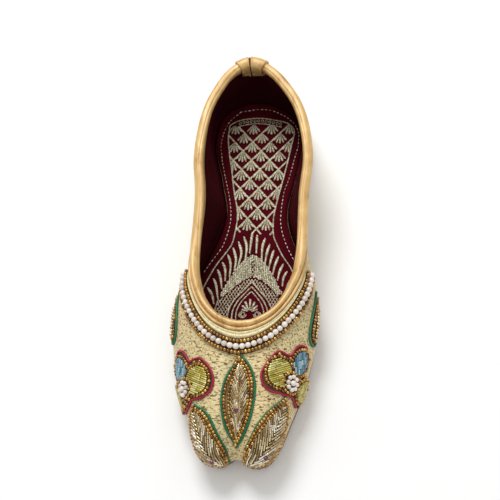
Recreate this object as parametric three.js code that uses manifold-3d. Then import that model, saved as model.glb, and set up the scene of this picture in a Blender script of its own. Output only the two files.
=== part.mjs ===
// Mojari: a straight-lasted slip-on shoe. A gold cloth upper with two rounded toe lobes stands on a flat
// leather sole, with a rolled collar binding, a band of bead rows over the vamp and raised beaded motifs.
// Millimetres, +Z up. The toe points along -Y and the heel along +Y. Left is -X and right is +X.
// The origin is on the floor, under the middle of the whole shoe.

import * as THREE from 'three';
import { mergeVertices } from 'three/addons/utils/BufferGeometryUtils.js';
import Module from 'manifold-3d';

// Driving dimensions of the last
const LENGTH = 246;
const BALL_WIDTH = 83;
const COLLAR_WIDTH = 66.5;
const INSTEP_HEIGHT = 37.7;
const HEEL_HEIGHT = 51;
const WIDEST_HEIGHT = 12;

// Upper: wall with its lining, how far the widest line overhangs the sole edge, margin turned in below
const WALL = 2;
const OVERHANG = 2.3;
const MARGIN_WIDTH = 5;
const MARGIN_THICKNESS = 1.2;

// Outsole
const SOLE_THICKNESS = 4;
const SOLE_WELT = 1;
const HEEL_STEP = 3;
const ARCH_RISE = 2.5;
const TOE_SPRING_HEIGHT = 3;

// Insole
const INSOLE_THICKNESS = 3;

// Collar binding, throat band and bead rows
const BINDING_DEPTH = 4.5;
const BINDING_THICKNESS = 1.2;
const BINDING_SWELL = 1.1;
const BAND_WIDTH = 4.1;
const BAND_THICKNESS = 1.1;
const BEAD = 2.1;
const PEARL = 3.4;

// Raised motifs and heel tab
const PAD_RISE = 1.7;
const TAB_WIDTH = 19;
const TAB_INSIDE = 12;
const TAB_OUTSIDE = 9;
const TAB_THICKNESS = 0.9;

// Clearance between pieces that touch on the real shoe, and between pieces whose flat facets follow
// the same curved face in different steps
const GAP = 0.3;
const SEAT = 0.6;

// Sections of the upper, from the notch between the toe lobes to the seam at the back of the heel.
// at and half give its widest line, topAt and topHalf the collar line: at is a share of LENGTH from the
// toe, half a share of half BALL_WIDTH, topHalf of half COLLAR_WIDTH. climb goes from INSTEP_HEIGHT, 0,
// to HEEL_HEIGHT, 1. rise is how upright the wall leaves its widest line, reach how far it stays out,
// and drop how steeply it meets the collar, all as shares of the wall between the two lines.
const SECTIONS = [
  // place          at    half   topAt  topHalf climb rise reach drop
  ['notch',       0.0235, 0.000, 0.2925, 0.000, 0.00, 0.30, 0.70, 0.46],
  ['notch lip',   0.0130, 0.085, 0.2930, 0.070, 0.00, 0.38, 0.68, 0.42],
  ['toe lobe',    0.0005, 0.245, 0.2960, 0.185, 0.00, 0.62, 0.62, 0.34],
  ['lobe corner', 0.0120, 0.425, 0.3030, 0.305, 0.00, 0.62, 0.62, 0.33],
  ['toe side',    0.0460, 0.560, 0.3130, 0.425, 0.00, 0.56, 0.62, 0.34],
  ['vamp front',  0.1100, 0.700, 0.3290, 0.550, 0.00, 0.52, 0.60, 0.34],
  ['vamp side',   0.1900, 0.858, 0.3520, 0.670, 0.01, 0.46, 0.58, 0.34],
  ['ball',        0.2890, 0.975, 0.3850, 0.785, 0.02, 0.44, 0.56, 0.34],
  ['joint',       0.3830, 0.972, 0.4270, 0.885, 0.03, 0.44, 0.54, 0.34],
  ['wing',        0.4920, 0.830, 0.4880, 0.935, 0.08, 0.40, 0.45, 0.34],
  ['waist',       0.6250, 0.560, 0.6150, 0.945, 0.29, 0.34, 0.40, 0.34],
  ['quarter',     0.7350, 0.645, 0.7250, 1.005, 0.56, 0.34, 0.40, 0.34],
  ['heel side',   0.8480, 0.770, 0.8420, 0.870, 0.81, 0.36, 0.30, 0.34],
  ['counter',     0.9440, 0.640, 0.9280, 0.560, 0.94, 0.36, 0.30, 0.34],
  ['heel back',   0.9910, 0.275, 0.9720, 0.262, 0.99, 0.36, 0.30, 0.34],
  ['heel seam',   1.0000, 0.000, 0.9860, 0.000, 1.00, 0.36, 0.30, 0.34],
].map(([place, at, half, topAt, topHalf, climb, rise, reach, drop]) => (
  { place, at, half, topAt, topHalf, climb, rise, reach, drop }));

// Side bow of the shoe's middle line, as shares of BALL_WIDTH, at even stations from toe to heel
const BOW = [0, -0.002, -0.003, 0.008, 0.022, 0.024, 0.018, 0, -0.031];

// Stations of the sole along LENGTH: toe spring ends, waist starts, arch is full, heel starts
const SPRING_END = 0.17;
const WAIST_START = 0.48;
const ARCH_FULL = 0.6;
const HEEL_START = 0.7;

// Share of a section, from sole edge to collar, at which its widest line lies
const WIDEST_SHARE = 0.2;

// Raised motifs on the right side. around counts sections from the toe notch, and up is a share of the
// way from the sole edge to the lowest bead row.
const LEAF_CENTRE = {
  middle: { around: 0, up: 0.72 },
  outline: [
    { around: 0, up: 0.985 },
    { around: 1.3, up: 0.96 },
    { around: 2.2, up: 0.89 },
    { around: 2.25, up: 0.8 },
    { around: 1.75, up: 0.68 },
    { around: 1.0, up: 0.55 },
    { around: 0, up: 0.43 },
    { around: -1.0, up: 0.55 },
    { around: -1.75, up: 0.68 },
    { around: -2.25, up: 0.8 },
    { around: -2.2, up: 0.89 },
    { around: -1.3, up: 0.96 },
  ],
};
const LEAF_TOE = {
  middle: { around: 2.8, up: 0.4 },
  outline: [
    { around: 4.8, up: 0.62 },
    { around: 3.8, up: 0.67 },
    { around: 2.9, up: 0.67 },
    { around: 2.2, up: 0.6 },
    { around: 1.65, up: 0.5 },
    { around: 1.2, up: 0.34 },
    { around: 1.1, up: 0.16 },
    { around: 1.9, up: 0.13 },
    { around: 2.8, up: 0.14 },
    { around: 3.7, up: 0.19 },
    { around: 4.5, up: 0.27 },
    { around: 4.85, up: 0.44 },
  ],
};
const FLOWER = {
  middle: { around: 5.3, up: 0.72 },
  outline: [
    { around: 6.4, up: 0.7 },
    { around: 5.75, up: 0.81 },
    { around: 4.95, up: 0.93 },
    { around: 3.8, up: 0.94 },
    { around: 3.1, up: 0.88 },
    { around: 3.7, up: 0.79 },
    { around: 4.55, up: 0.72 },
    { around: 5.1, up: 0.56 },
    { around: 5.35, up: 0.28 },
    { around: 5.8, up: 0.19 },
    { around: 6.35, up: 0.3 },
    { around: 6.6, up: 0.5 },
  ],
};
const LEAF_SIDE = {
  middle: { around: 7.35, up: 0.58 },
  outline: [
    { around: 6.72, up: 0.5 },
    { around: 6.95, up: 0.64 },
    { around: 7.35, up: 0.7 },
    { around: 7.75, up: 0.72 },
    { around: 8.1, up: 0.68 },
    { around: 7.8, up: 0.58 },
    { around: 7.4, up: 0.47 },
    { around: 6.95, up: 0.42 },
  ],
};

// Where the throat band and the bead rows end on each side, counted in sections from the toe notch,
// and how much of its width the band loses there
const WING_END = 8.3;
const WING_TAPER = 0.7;

// Sections over which a raised pad evens out the face below it
const PAD_SPAN = 0.8;

// Rings of a raised pad, from the middle of its underside over the edge to the middle of its top:
// spread is the share of the way out to the edge, rise the share of PAD_RISE
const PAD_RINGS = [
  { spread: 0.25, rise: 0 },
  { spread: 0.5, rise: 0 },
  { spread: 0.76, rise: 0 },
  { spread: 1, rise: 0 },
  { spread: 1, rise: 0.45 },
  { spread: 0.84, rise: 0.9 },
  { spread: 0.5, rise: 1 },
  { spread: 0.25, rise: 1 },
];

// Mesh steps
const STEPS_PER_SECTION = 3;
const OUTER_ROWS = [0, 0.07, 0.13, 0.2, 0.31, 0.43, 0.56, 0.7, 0.85, 1];
const INNER_ROWS = [1, 0.85, 0.68, 0.52, 0.36, 0.23, 0.13];

const HEEL_SEAM = SECTIONS.length - 1;
const UP = new THREE.Vector3(0, 0, 1);

const clamp = THREE.MathUtils.clamp;
const yAt = (share) => (share - 0.5) * LENGTH;
const shareAt = (y) => y / LENGTH + 0.5;

// Smooth curve through four neighbouring values
function through(a, b, c, d, t) {
  return 0.5 * (2 * b + (c - a) * t + (2 * a - 5 * b + 4 * c - d) * t * t
    + (3 * b - a - 3 * c + d) * t * t * t);
}

// Section at a place round the shoe: 0 is the toe notch, plus goes over the right side to the heel seam
// and minus over the left. Past either end the table is mirrored.
function sectionAt(around) {
  const wrapped = around > HEEL_SEAM ? around - 2 * HEEL_SEAM : around;
  const place = Math.abs(wrapped);
  const side = wrapped < 0 ? -1 : 1;
  const first = clamp(Math.floor(place), 0, HEEL_SEAM - 1);
  const value = (index, name) => {
    const mirrored = index < 0 ? -index : index > HEEL_SEAM ? 2 * HEEL_SEAM - index : index;
    const flips = mirrored !== index && (name === 'half' || name === 'topHalf');
    return flips ? -SECTIONS[mirrored][name] : SECTIONS[mirrored][name];
  };
  const blend = (name) => through(value(first - 1, name), value(first, name), value(first + 1, name),
    value(first + 2, name), place - first);
  return {
    at: blend('at'),
    half: side * blend('half'),
    topAt: blend('topAt'),
    topHalf: side * blend('topHalf'),
    climb: blend('climb'),
    rise: blend('rise'),
    reach: blend('reach'),
    drop: blend('drop'),
  };
}

// Side bow at a place along the shoe
function bowAt(y) {
  const spans = BOW.length - 1;
  const place = clamp(shareAt(y), 0, 1) * spans;
  const first = Math.min(Math.floor(place), spans - 1);
  const value = (index) => BOW[clamp(index, 0, spans)];
  return BALL_WIDTH * through(value(first - 1), value(first), value(first + 1), value(first + 2),
    place - first);
}

// Height of the sole's top and of its underside along the shoe
function springAt(share) {
  return TOE_SPRING_HEIGHT * Math.max(0, 1 - share / SPRING_END) ** 2;
}
function soleTop(y) {
  const share = shareAt(y);
  return SOLE_THICKNESS + springAt(share)
    + HEEL_STEP * THREE.MathUtils.smoothstep(share, WAIST_START, HEEL_START);
}
function soleUnder(share) {
  if (share >= HEEL_START) return 0;
  return springAt(share) + ARCH_RISE * THREE.MathUtils.smoothstep(share, WAIST_START, ARCH_FULL);
}

// Widest line in plan, before the bow, and a line drawn inside it
function widest(around) {
  const section = sectionAt(around);
  return new THREE.Vector2(section.half * BALL_WIDTH / 2, yAt(section.at));
}
function outwardAt(around) {
  const step = 0.001;
  const along = widest(around + step).sub(widest(around - step)).normalize();
  return new THREE.Vector2(along.y, -along.x);
}
function inside(around, inset) {
  return widest(around).addScaledVector(outwardAt(around), -inset);
}
function bowed(point) {
  point.x += bowAt(point.y);
  return point;
}

// Point of the outer face: up 0 is the sole edge, 1 the collar line
function outerPoint(around, up) {
  const section = sectionAt(around);
  const line = widest(around);
  const outward = outwardAt(around);
  const feather = inside(around, OVERHANG);
  const seat = soleTop(feather.y) + GAP;
  const crest = soleTop(feather.y) - SOLE_THICKNESS + WIDEST_HEIGHT;
  const foot = new THREE.Vector3(feather.x, feather.y, seat);
  const wide = new THREE.Vector3(line.x, line.y, crest);
  const topHeight = THREE.MathUtils.lerp(INSTEP_HEIGHT, HEEL_HEIGHT, section.climb);
  const top = new THREE.Vector3(section.topHalf * COLLAR_WIDTH / 2, yAt(section.topAt), topHeight);
  const out = new THREE.Vector3(outward.x, outward.y, 0);
  const lowHeight = crest - seat;
  const highHeight = topHeight - crest;
  let curve;
  let t;
  if (up < WIDEST_SHARE) {
    curve = new THREE.CubicBezierCurve3(foot,
      foot.clone().addScaledVector(out, OVERHANG * 0.55).addScaledVector(UP, lowHeight * 0.22),
      wide.clone().addScaledVector(UP, -lowHeight * 0.45), wide);
    t = up / WIDEST_SHARE;
  } else {
    const over = wide.clone().sub(top).setZ(0);
    curve = new THREE.CubicBezierCurve3(wide,
      wide.clone().addScaledVector(UP, highHeight * section.rise),
      top.clone().addScaledVector(over, section.reach).addScaledVector(UP, -highHeight * section.drop),
      top);
    t = (up - WIDEST_SHARE) / (1 - WIDEST_SHARE);
  }
  return bowed(curve.getPoint(t));
}

// Outward direction of the outer face. A wide span, in sections, evens out the valley between the lobes.
function normalAt(around, up, span = 0.001) {
  const step = 0.001;
  const high = Math.min(1, up + step);
  const low = Math.max(0, up - step);
  const across = outerPoint(around + span, up).sub(outerPoint(around - span, up));
  const rising = outerPoint(around, high).sub(outerPoint(around, low));
  return across.cross(rising).normalize();
}

// Direction in which the wall runs out at the collar line
function rimDirection(around) {
  const step = 0.01;
  return outerPoint(around, 1).sub(outerPoint(around, 1 - step)).normalize();
}

// Point at a height over the outer face, or under it when the height is negative
function facePoint(around, up, height, span) {
  return outerPoint(around, up).addScaledVector(normalAt(around, up, span), height);
}

// Share of a section that lies a distance down the outer face from the collar line
function upBelowCollar(around, distance) {
  const step = 0.01;
  let up = 1;
  let left = distance;
  let point = outerPoint(around, up);
  while (up > step) {
    const next = outerPoint(around, up - step);
    const length = next.distanceTo(point);
    if (length >= left) return up - step * left / length;
    left -= length;
    up -= step;
    point = next;
  }
  return up;
}

// How far each part of the bead rows lies below the collar line
const wingShare = (around) => Math.min(1, Math.abs(around) / WING_END);
const bandStart = () => BINDING_DEPTH + GAP;
const bandEnd = (around) => bandStart() + BAND_WIDTH * (1 - WING_TAPER * wingShare(around) ** 2);
const goldUpperEnd = (around) => bandEnd(around) + GAP + BEAD;
const pearlEnd = (around) => goldUpperEnd(around) + GAP + PEARL;
const goldLowerEnd = (around) => pearlEnd(around) + GAP + BEAD;

// One closed body from faces given as rings of points
function bodyFrom(points, faces) {
  const geometry = new THREE.BufferGeometry();
  const values = points.flatMap((point) => [point.x, point.y, point.z]);
  geometry.setAttribute('position', new THREE.Float32BufferAttribute(values, 3));
  geometry.setIndex(faces.flat());
  return geometry;
}

// Loop of sections round the whole shoe, each a closed ring of points
function sweepRound(sectionPoints) {
  const columns = 2 * HEEL_SEAM * STEPS_PER_SECTION;
  const rings = [];
  for (let column = 0; column < columns; column += 1) {
    rings.push(sectionPoints(column / STEPS_PER_SECTION - HEEL_SEAM));
  }
  const size = rings[0].length;
  const faces = [];
  for (let column = 0; column < columns; column += 1) {
    const next = (column + 1) % columns;
    for (let row = 0; row < size; row += 1) {
      const above = (row + 1) % size;
      faces.push([column * size + row, next * size + row, next * size + above]);
      faces.push([column * size + row, next * size + above, column * size + above]);
    }
  }
  return bodyFrom(rings.flat(), faces);
}

// Strip between two places, closed at both ends. Its section is two equal rows, out and back.
function sweepBetween(start, end, steps, sectionPoints) {
  const rings = [];
  for (let column = 0; column <= steps; column += 1) {
    rings.push(sectionPoints(THREE.MathUtils.lerp(start, end, column / steps)));
  }
  const size = rings[0].length;
  const faces = [];
  for (let column = 0; column < steps; column += 1) {
    for (let row = 0; row < size; row += 1) {
      const above = (row + 1) % size;
      const here = column * size;
      const there = here + size;
      faces.push([here + row, there + row, there + above]);
      faces.push([here + row, there + above, here + above]);
    }
  }
  const last = steps * size;
  for (let row = 0; row < size / 2 - 1; row += 1) {
    const back = size - 1 - row;
    faces.push([row, row + 1, back - 1]);
    faces.push([row, back - 1, back]);
    faces.push([last + row, last + back - 1, last + row + 1]);
    faces.push([last + row, last + back, last + back - 1]);
  }
  return bodyFrom(rings.flat(), faces);
}

// Upper: outer face, rim, lining face and the margin turned in over the sole
function upperShell() {
  return sweepRound((around) => {
    const ring = OUTER_ROWS.map((up) => outerPoint(around, up));
    for (const up of INNER_ROWS) ring.push(facePoint(around, up, -WALL));
    const corner = inside(around, OVERHANG + WALL);
    const edge = inside(around, OVERHANG + WALL + MARGIN_WIDTH);
    for (const [spot, height] of [[corner, MARGIN_THICKNESS], [edge, MARGIN_THICKNESS], [edge, 0]]) {
      ring.push(bowed(new THREE.Vector3(spot.x, spot.y, soleTop(spot.y) + GAP + height)));
    }
    return ring;
  });
}

// Binding rolled over the rim, with a leg down each face
function collarBinding() {
  const roll = [
    // depth below the collar line and height over the wall, both as shares
    { depth: 1, height: 0.6 },
    { depth: 0.55, height: BINDING_SWELL },
    { depth: 0.1, height: 1 },
  ];
  return sweepRound((around) => {
    const leg = (depth, height) => facePoint(around, upBelowCollar(around, depth), height);
    const outer = roll.map(({ depth, height }) => (
      leg(depth * BINDING_DEPTH, SEAT + height * BINDING_THICKNESS)));
    const inner = roll.map(({ depth, height }) => (
      leg(depth * BINDING_DEPTH, -WALL - SEAT - height * BINDING_THICKNESS))).reverse();
    const past = rimDirection(around);
    const crown = facePoint(around, 1, -WALL / 2).addScaledVector(past, GAP + BINDING_THICKNESS);
    const under = [
      leg(BINDING_DEPTH, -WALL - SEAT),
      facePoint(around, 1, -WALL - SEAT).addScaledVector(past, GAP),
      facePoint(around, 1, SEAT).addScaledVector(past, GAP),
      leg(BINDING_DEPTH, SEAT),
    ];
    return [...outer, crown, ...inner, ...under];
  });
}

// Strip over the vamp between two depths below the collar line, with a rounded back
function vampStrip(from, to, rise) {
  const steps = 36;
  return sweepBetween(-WING_END, WING_END, steps, (around) => {
    const width = to(around) - from(around);
    const spot = (share, height) => (
      facePoint(around, upBelowCollar(around, from(around) + share * width), height));
    return [
      spot(0, SEAT),
      spot(0.05, SEAT + rise * 0.6),
      spot(0.5, SEAT + rise),
      spot(0.95, SEAT + rise * 0.6),
      spot(1, SEAT),
      spot(0.5, SEAT),
    ];
  });
}

// Field of the motifs: from the sole edge to the lowest bead row
function fieldPlace({ around, up }) {
  const fieldTop = upBelowCollar(around, goldLowerEnd(around) + GAP);
  return { around, up: up * fieldTop };
}

// Raised pad on the outer face, with its outline drawn smoothly through the points of a motif
function pad(motif, side) {
  const outline = motif.outline.map(({ around, up }) => new THREE.Vector3(around, up, 0));
  const curve = new THREE.CatmullRomCurve3(outline, true, 'catmullrom', 0.5);
  const corners = outline.length * 2;
  const middle = motif.middle;
  const spot = (corner, spread, height) => {
    const edge = curve.getPoint(corner / corners);
    const place = fieldPlace({
      around: THREE.MathUtils.lerp(middle.around, edge.x, spread),
      up: THREE.MathUtils.lerp(middle.up, edge.y, spread),
    });
    return facePoint(side * place.around, place.up, height, PAD_SPAN);
  };
  const points = [];
  for (const { spread, rise } of PAD_RINGS) {
    for (let corner = 0; corner < corners; corner += 1) {
      points.push(spot(corner, spread, SEAT + rise * PAD_RISE));
    }
  }
  const bottom = points.push(spot(0, 0, SEAT)) - 1;
  const top = points.push(spot(0, 0, SEAT + PAD_RISE)) - 1;
  const faces = [];
  const last = (PAD_RINGS.length - 1) * corners;
  for (let corner = 0; corner < corners; corner += 1) {
    const next = (corner + 1) % corners;
    for (let low = 0; low < last; low += corners) {
      const high = low + corners;
      faces.push([low + corner, low + next, high + next]);
      faces.push([low + corner, high + next, high + corner]);
    }
    faces.push([next, corner, bottom]);
    faces.push([last + corner, last + next, top]);
  }
  return bodyFrom(points, faces);
}

// Folded tab over the back of the collar, down both faces
function heelTab() {
  const around = HEEL_SEAM;
  const reach = TAB_WIDTH / 2 / outerPoint(around - 1, 1).distanceTo(outerPoint(around, 1));
  const over = SEAT + BINDING_THICKNESS * BINDING_SWELL + GAP;
  const fold = [
    { depth: TAB_OUTSIDE, height: SEAT },
    { depth: BINDING_DEPTH + 2, height: SEAT },
    { depth: BINDING_DEPTH, height: over },
    { depth: 0, height: over },
  ];
  const steps = 8;
  return sweepBetween(around - reach, around + reach, steps, (place) => {
    const crownRise = BINDING_THICKNESS + 2 * GAP;
    const past = rimDirection(place);
    const leg = (depth, height) => facePoint(place, upBelowCollar(place, depth), height);
    const crown = (rise) => facePoint(place, 1, -WALL / 2).addScaledVector(past, rise);
    const deep = (depth) => depth * (depth > BINDING_DEPTH + 2 ? TAB_INSIDE / TAB_OUTSIDE : 1);
    const under = fold.map(({ depth, height }) => leg(depth, height));
    const underIn = fold.map(({ depth, height }) => leg(deep(depth), -WALL - height)).reverse();
    const top = fold.map(({ depth, height }) => leg(depth, height + TAB_THICKNESS));
    const topIn = fold.map(({ depth, height }) => (
      leg(deep(depth), -WALL - height - TAB_THICKNESS))).reverse();
    return [
      ...under, crown(crownRise), ...underIn,
      ...topIn.reverse(), crown(crownRise + TAB_THICKNESS), ...top.reverse(),
    ];
  });
}

const wasm = await Module();
wasm.setup();

// Closed geometry to a solid that can be cut, and back
function solidOf(geometry) {
  const bare = geometry.clone();
  bare.deleteAttribute('normal');
  bare.deleteAttribute('uv');
  const merged = mergeVertices(bare, 0.0001);
  return new wasm.Manifold(new wasm.Mesh({
    numProp: 3,
    vertProperties: Float32Array.from(merged.attributes.position.array),
    triVerts: Uint32Array.from(merged.index.array),
  }));
}
function geometryOf(solid) {
  const mesh = solid.getMesh();
  const geometry = new THREE.BufferGeometry();
  geometry.setAttribute('position', new THREE.BufferAttribute(new Float32Array(mesh.vertProperties), 3));
  geometry.setIndex(new THREE.BufferAttribute(new Uint32Array(mesh.triVerts), 1));
  return geometry;
}

// Upright block with the shoe's own outline, drawn inside the widest line
function outlineBlock(inset) {
  const outline = [];
  for (let column = 0; column < 2 * HEEL_SEAM * STEPS_PER_SECTION; column += 1) {
    outline.push(bowed(inside(column / STEPS_PER_SECTION - HEEL_SEAM, inset)));
  }
  const height = HEEL_HEIGHT;
  const block = new THREE.ExtrudeGeometry(new THREE.Shape(outline), { depth: height, bevelEnabled: false });
  return solidOf(block.translate(0, 0, -height / 4));
}

// Block with the shoe's side profile, as wide as needed: rows of y and height, over the top and back
function profileBlock(over, under) {
  const steps = 60;
  const shares = Array.from({ length: steps + 1 }, (_, step) => -0.01 + 1.02 * step / steps);
  const profile = shares.map((share) => new THREE.Vector2(yAt(share), over(share)));
  const breast = HEEL_START - 0.004;
  const below = [...shares, breast, HEEL_START].sort((a, b) => b - a);
  for (const share of below) profile.push(new THREE.Vector2(yAt(share), under(share)));
  const width = 2 * BALL_WIDTH;
  const block = new THREE.ExtrudeGeometry(new THREE.Shape(profile), { depth: width, bevelEnabled: false });
  block.translate(0, 0, -width / 2);
  block.applyMatrix4(new THREE.Matrix4().makeBasis(
    new THREE.Vector3(0, 1, 0), new THREE.Vector3(0, 0, 1), new THREE.Vector3(1, 0, 0)));
  return solidOf(block);
}

// Outsole: its outline shows as a thin welt round the upper, and its underside is the side profile
function outsole() {
  const outline = outlineBlock(OVERHANG - SOLE_WELT);
  return geometryOf(outline.intersect(profileBlock((share) => soleTop(yAt(share)), soleUnder)));
}

// Insole: fills the inside of the lining, on the turned-in margin
function insole() {
  const floor = (share) => soleTop(yAt(share)) + 2 * GAP + MARGIN_THICKNESS;
  const outline = outlineBlock(OVERHANG + WALL + GAP);
  return geometryOf(outline.intersect(profileBlock((share) => floor(share) + INSOLE_THICKNESS, floor)));
}

// Finishes
const finish = (color, roughness, metalness = 0) => (
  new THREE.MeshStandardMaterial({ color, roughness, metalness }));
const goldCloth = finish(0xd8c99a, 0.6);
const soleLeather = finish(0x8a6238, 0.6);
const velvet = finish(0x4a0716, 0.9);
const tanLeatherette = finish(0xdcb47e, 0.45);
const goldBeads = finish(0xa06a18, 0.25, 0.6);
const pearls = finish(0xe6d8d2, 0.2);
const beadwork = finish(0xb59a5e, 0.3, 0.3);

const shoe = new THREE.Group();
function add(name, geometry, material) {
  const mesh = new THREE.Mesh(geometry, material);
  mesh.name = name;
  shoe.add(mesh);
}

add('outsole', outsole(), soleLeather);
add('upper', upperShell(), goldCloth);
add('insole', insole(), velvet);
add('collar_binding', collarBinding(), tanLeatherette);
add('throat_band', vampStrip(bandStart, bandEnd, BAND_THICKNESS), tanLeatherette);
add('gold_row_upper', vampStrip((around) => bandEnd(around) + GAP, goldUpperEnd, BEAD), goldBeads);
add('pearl_row', vampStrip((around) => goldUpperEnd(around) + GAP, pearlEnd, PEARL * 0.9), pearls);
add('gold_row_lower', vampStrip((around) => pearlEnd(around) + GAP, goldLowerEnd, BEAD), goldBeads);
add('leaf_centre', pad(LEAF_CENTRE, 1), beadwork);
for (const [name, side] of [['left', -1], ['right', 1]]) {
  add(`leaf_toe_${name}`, pad(LEAF_TOE, side), beadwork);
  add(`flower_${name}`, pad(FLOWER, side), beadwork);
  add(`leaf_side_${name}`, pad(LEAF_SIDE, side), beadwork);
}
add('heel_tab', heelTab(), tanLeatherette);

// Faces point out on both sides of the shoe, whichever way round a piece was drawn
for (const mesh of shoe.children) {
  const corners = mesh.geometry.index.array;
  const point = (index) => new THREE.Vector3().fromBufferAttribute(mesh.geometry.attributes.position, index);
  let volume = 0;
  for (let face = 0; face < corners.length; face += 3) {
    const [a, b, c] = [point(corners[face]), point(corners[face + 1]), point(corners[face + 2])];
    volume += a.dot(b.cross(c));
  }
  if (volume < 0) mesh.geometry.setIndex(Array.from(corners).reverse());
}

const box = new THREE.Box3().setFromObject(shoe);
const middle = box.getCenter(new THREE.Vector3());
shoe.position.set(-middle.x, -middle.y, -box.min.z);

export default shoe;
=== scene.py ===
# %% [markdown]
# One mojari shoe, a flat slip-on of gold cloth on a leather sole. Hand beadwork covers its vamp: three rows
# of beads along the throat, leaves and flowers on the toe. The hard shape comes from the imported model. Each
# cell below dresses one piece of it, and says what that piece is on a real shoe.

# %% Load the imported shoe
import bpy
import math
import numpy as np
from mathutils import Matrix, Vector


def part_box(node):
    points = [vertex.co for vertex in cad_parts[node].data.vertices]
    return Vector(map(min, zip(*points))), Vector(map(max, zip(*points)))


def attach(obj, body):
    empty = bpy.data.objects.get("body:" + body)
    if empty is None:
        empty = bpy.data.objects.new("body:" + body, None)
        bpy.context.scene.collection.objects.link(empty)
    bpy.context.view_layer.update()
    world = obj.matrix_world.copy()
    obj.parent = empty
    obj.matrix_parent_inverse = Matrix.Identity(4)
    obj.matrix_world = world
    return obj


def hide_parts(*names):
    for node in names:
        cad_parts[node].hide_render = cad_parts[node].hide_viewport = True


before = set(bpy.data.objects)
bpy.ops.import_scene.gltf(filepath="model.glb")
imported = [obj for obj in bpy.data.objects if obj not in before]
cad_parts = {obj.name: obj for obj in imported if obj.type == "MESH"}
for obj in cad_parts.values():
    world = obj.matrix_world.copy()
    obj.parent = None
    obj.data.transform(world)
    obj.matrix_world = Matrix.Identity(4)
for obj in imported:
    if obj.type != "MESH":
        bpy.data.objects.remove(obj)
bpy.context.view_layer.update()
chance = np.random.default_rng(7)
MM = 0.001
print("pieces of the frame:", sorted(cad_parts))

# %% [markdown]
# The camera looks down on the shoe from over its toe, a little from its right, and leans to one side. It
# could be set by eye. Here it stands where the photographer stood, which was worked out from the outline of
# the sole, so that the shoe shows the same sides in the same proportions.

# %% Set the camera
CAMERA_AT = np.array([66.8, -278.0, 527.5])
CAMERA_AIM = np.array([0.5, 4.0, 22.0])
CAMERA_LEAN = math.radians(11.24)
CAMERA_LENS = 72

looking = (CAMERA_AIM - CAMERA_AT) / np.linalg.norm(CAMERA_AIM - CAMERA_AT)
level = np.cross(looking, [0, 0, 1])
level /= np.linalg.norm(level)
camera_up = np.cross(level, looking) * math.cos(CAMERA_LEAN) + level * math.sin(CAMERA_LEAN)
camera_right = np.cross(looking, camera_up)
camera = bpy.data.objects.new("camera", bpy.data.cameras.new("camera"))
camera.data.lens = CAMERA_LENS
camera.data.sensor_width = 36
camera.matrix_world = Matrix([[camera_right[row], camera_up[row], -looking[row], CAMERA_AT[row] * MM]
                              for row in range(3)] + [[0, 0, 0, 1]])
bpy.context.scene.collection.objects.link(camera)
bpy.context.scene.camera = camera
bpy.context.scene.view_settings.view_transform = "Standard"
print("camera distance in mm:", round(float(np.linalg.norm(CAMERA_AIM - CAMERA_AT))))

# %% [markdown]
# The shape of a lasted shoe can be kept as one formula. A table gives sections round the shoe, from the
# notch between the toe lobes to the seam at the heel, and smooth curves run through them. Every piece then
# asks the same formula where the leather lies, so beads, cords and stitches sit on it without fitting.

# %% Sizes of the last
LENGTH = 246
BALL_WIDTH = 83
COLLAR_WIDTH = 66.5
INSTEP_HEIGHT = 37.7
HEEL_HEIGHT = 51
WIDEST_HEIGHT = 12
WALL = 2
OVERHANG = 2.3
MARGIN_WIDTH = 5
MARGIN_THICKNESS = 1.2
SOLE_THICKNESS = 4
SOLE_WELT = 1
HEEL_STEP = 3
ARCH_RISE = 2.5
TOE_SPRING = 3
INSOLE_THICKNESS = 3
BINDING_DEPTH = 4.5
BAND_WIDTH = 4.1
BEAD = 2.1
PEARL = 3.4
GAP = 0.3
WING_END = 8.3
WING_TAPER = 0.7
SPRING_END, WAIST_START, ARCH_FULL, HEEL_START = 0.17, 0.48, 0.6, 0.7
WIDEST_SHARE = 0.2

SECTIONS = np.array([
    # at     half   topAt   topHalf climb rise reach drop
    [0.0235, 0.000, 0.2925, 0.000, 0.00, 0.30, 0.70, 0.46],  # notch
    [0.0130, 0.085, 0.2930, 0.070, 0.00, 0.38, 0.68, 0.42],  # notch lip
    [0.0005, 0.245, 0.2960, 0.185, 0.00, 0.62, 0.62, 0.34],  # toe lobe
    [0.0120, 0.425, 0.3030, 0.305, 0.00, 0.62, 0.62, 0.33],  # lobe corner
    [0.0460, 0.560, 0.3130, 0.425, 0.00, 0.56, 0.62, 0.34],  # toe side
    [0.1100, 0.700, 0.3290, 0.550, 0.00, 0.52, 0.60, 0.34],  # vamp front
    [0.1900, 0.858, 0.3520, 0.670, 0.01, 0.46, 0.58, 0.34],  # vamp side
    [0.2890, 0.975, 0.3850, 0.785, 0.02, 0.44, 0.56, 0.34],  # ball
    [0.3830, 0.972, 0.4270, 0.885, 0.03, 0.44, 0.54, 0.34],  # joint
    [0.4920, 0.830, 0.4880, 0.935, 0.08, 0.40, 0.45, 0.34],  # wing
    [0.6250, 0.560, 0.6150, 0.945, 0.29, 0.34, 0.40, 0.34],  # waist
    [0.7350, 0.645, 0.7250, 1.005, 0.56, 0.34, 0.40, 0.34],  # quarter
    [0.8480, 0.770, 0.8420, 0.870, 0.81, 0.36, 0.30, 0.34],  # heel side
    [0.9440, 0.640, 0.9280, 0.560, 0.94, 0.36, 0.30, 0.34],  # counter
    [0.9910, 0.275, 0.9720, 0.262, 0.99, 0.36, 0.30, 0.34],  # heel back
    [1.0000, 0.000, 0.9860, 0.000, 1.00, 0.36, 0.30, 0.34],  # heel seam
])
SIDE_BOW = np.array([0, -0.002, -0.003, 0.008, 0.022, 0.024, 0.018, 0, -0.031]) * BALL_WIDTH
SEAM = len(SECTIONS) - 1


def smooth(share):
    share = np.clip(share, 0, 1)
    return share * share * (3 - 2 * share)


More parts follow.
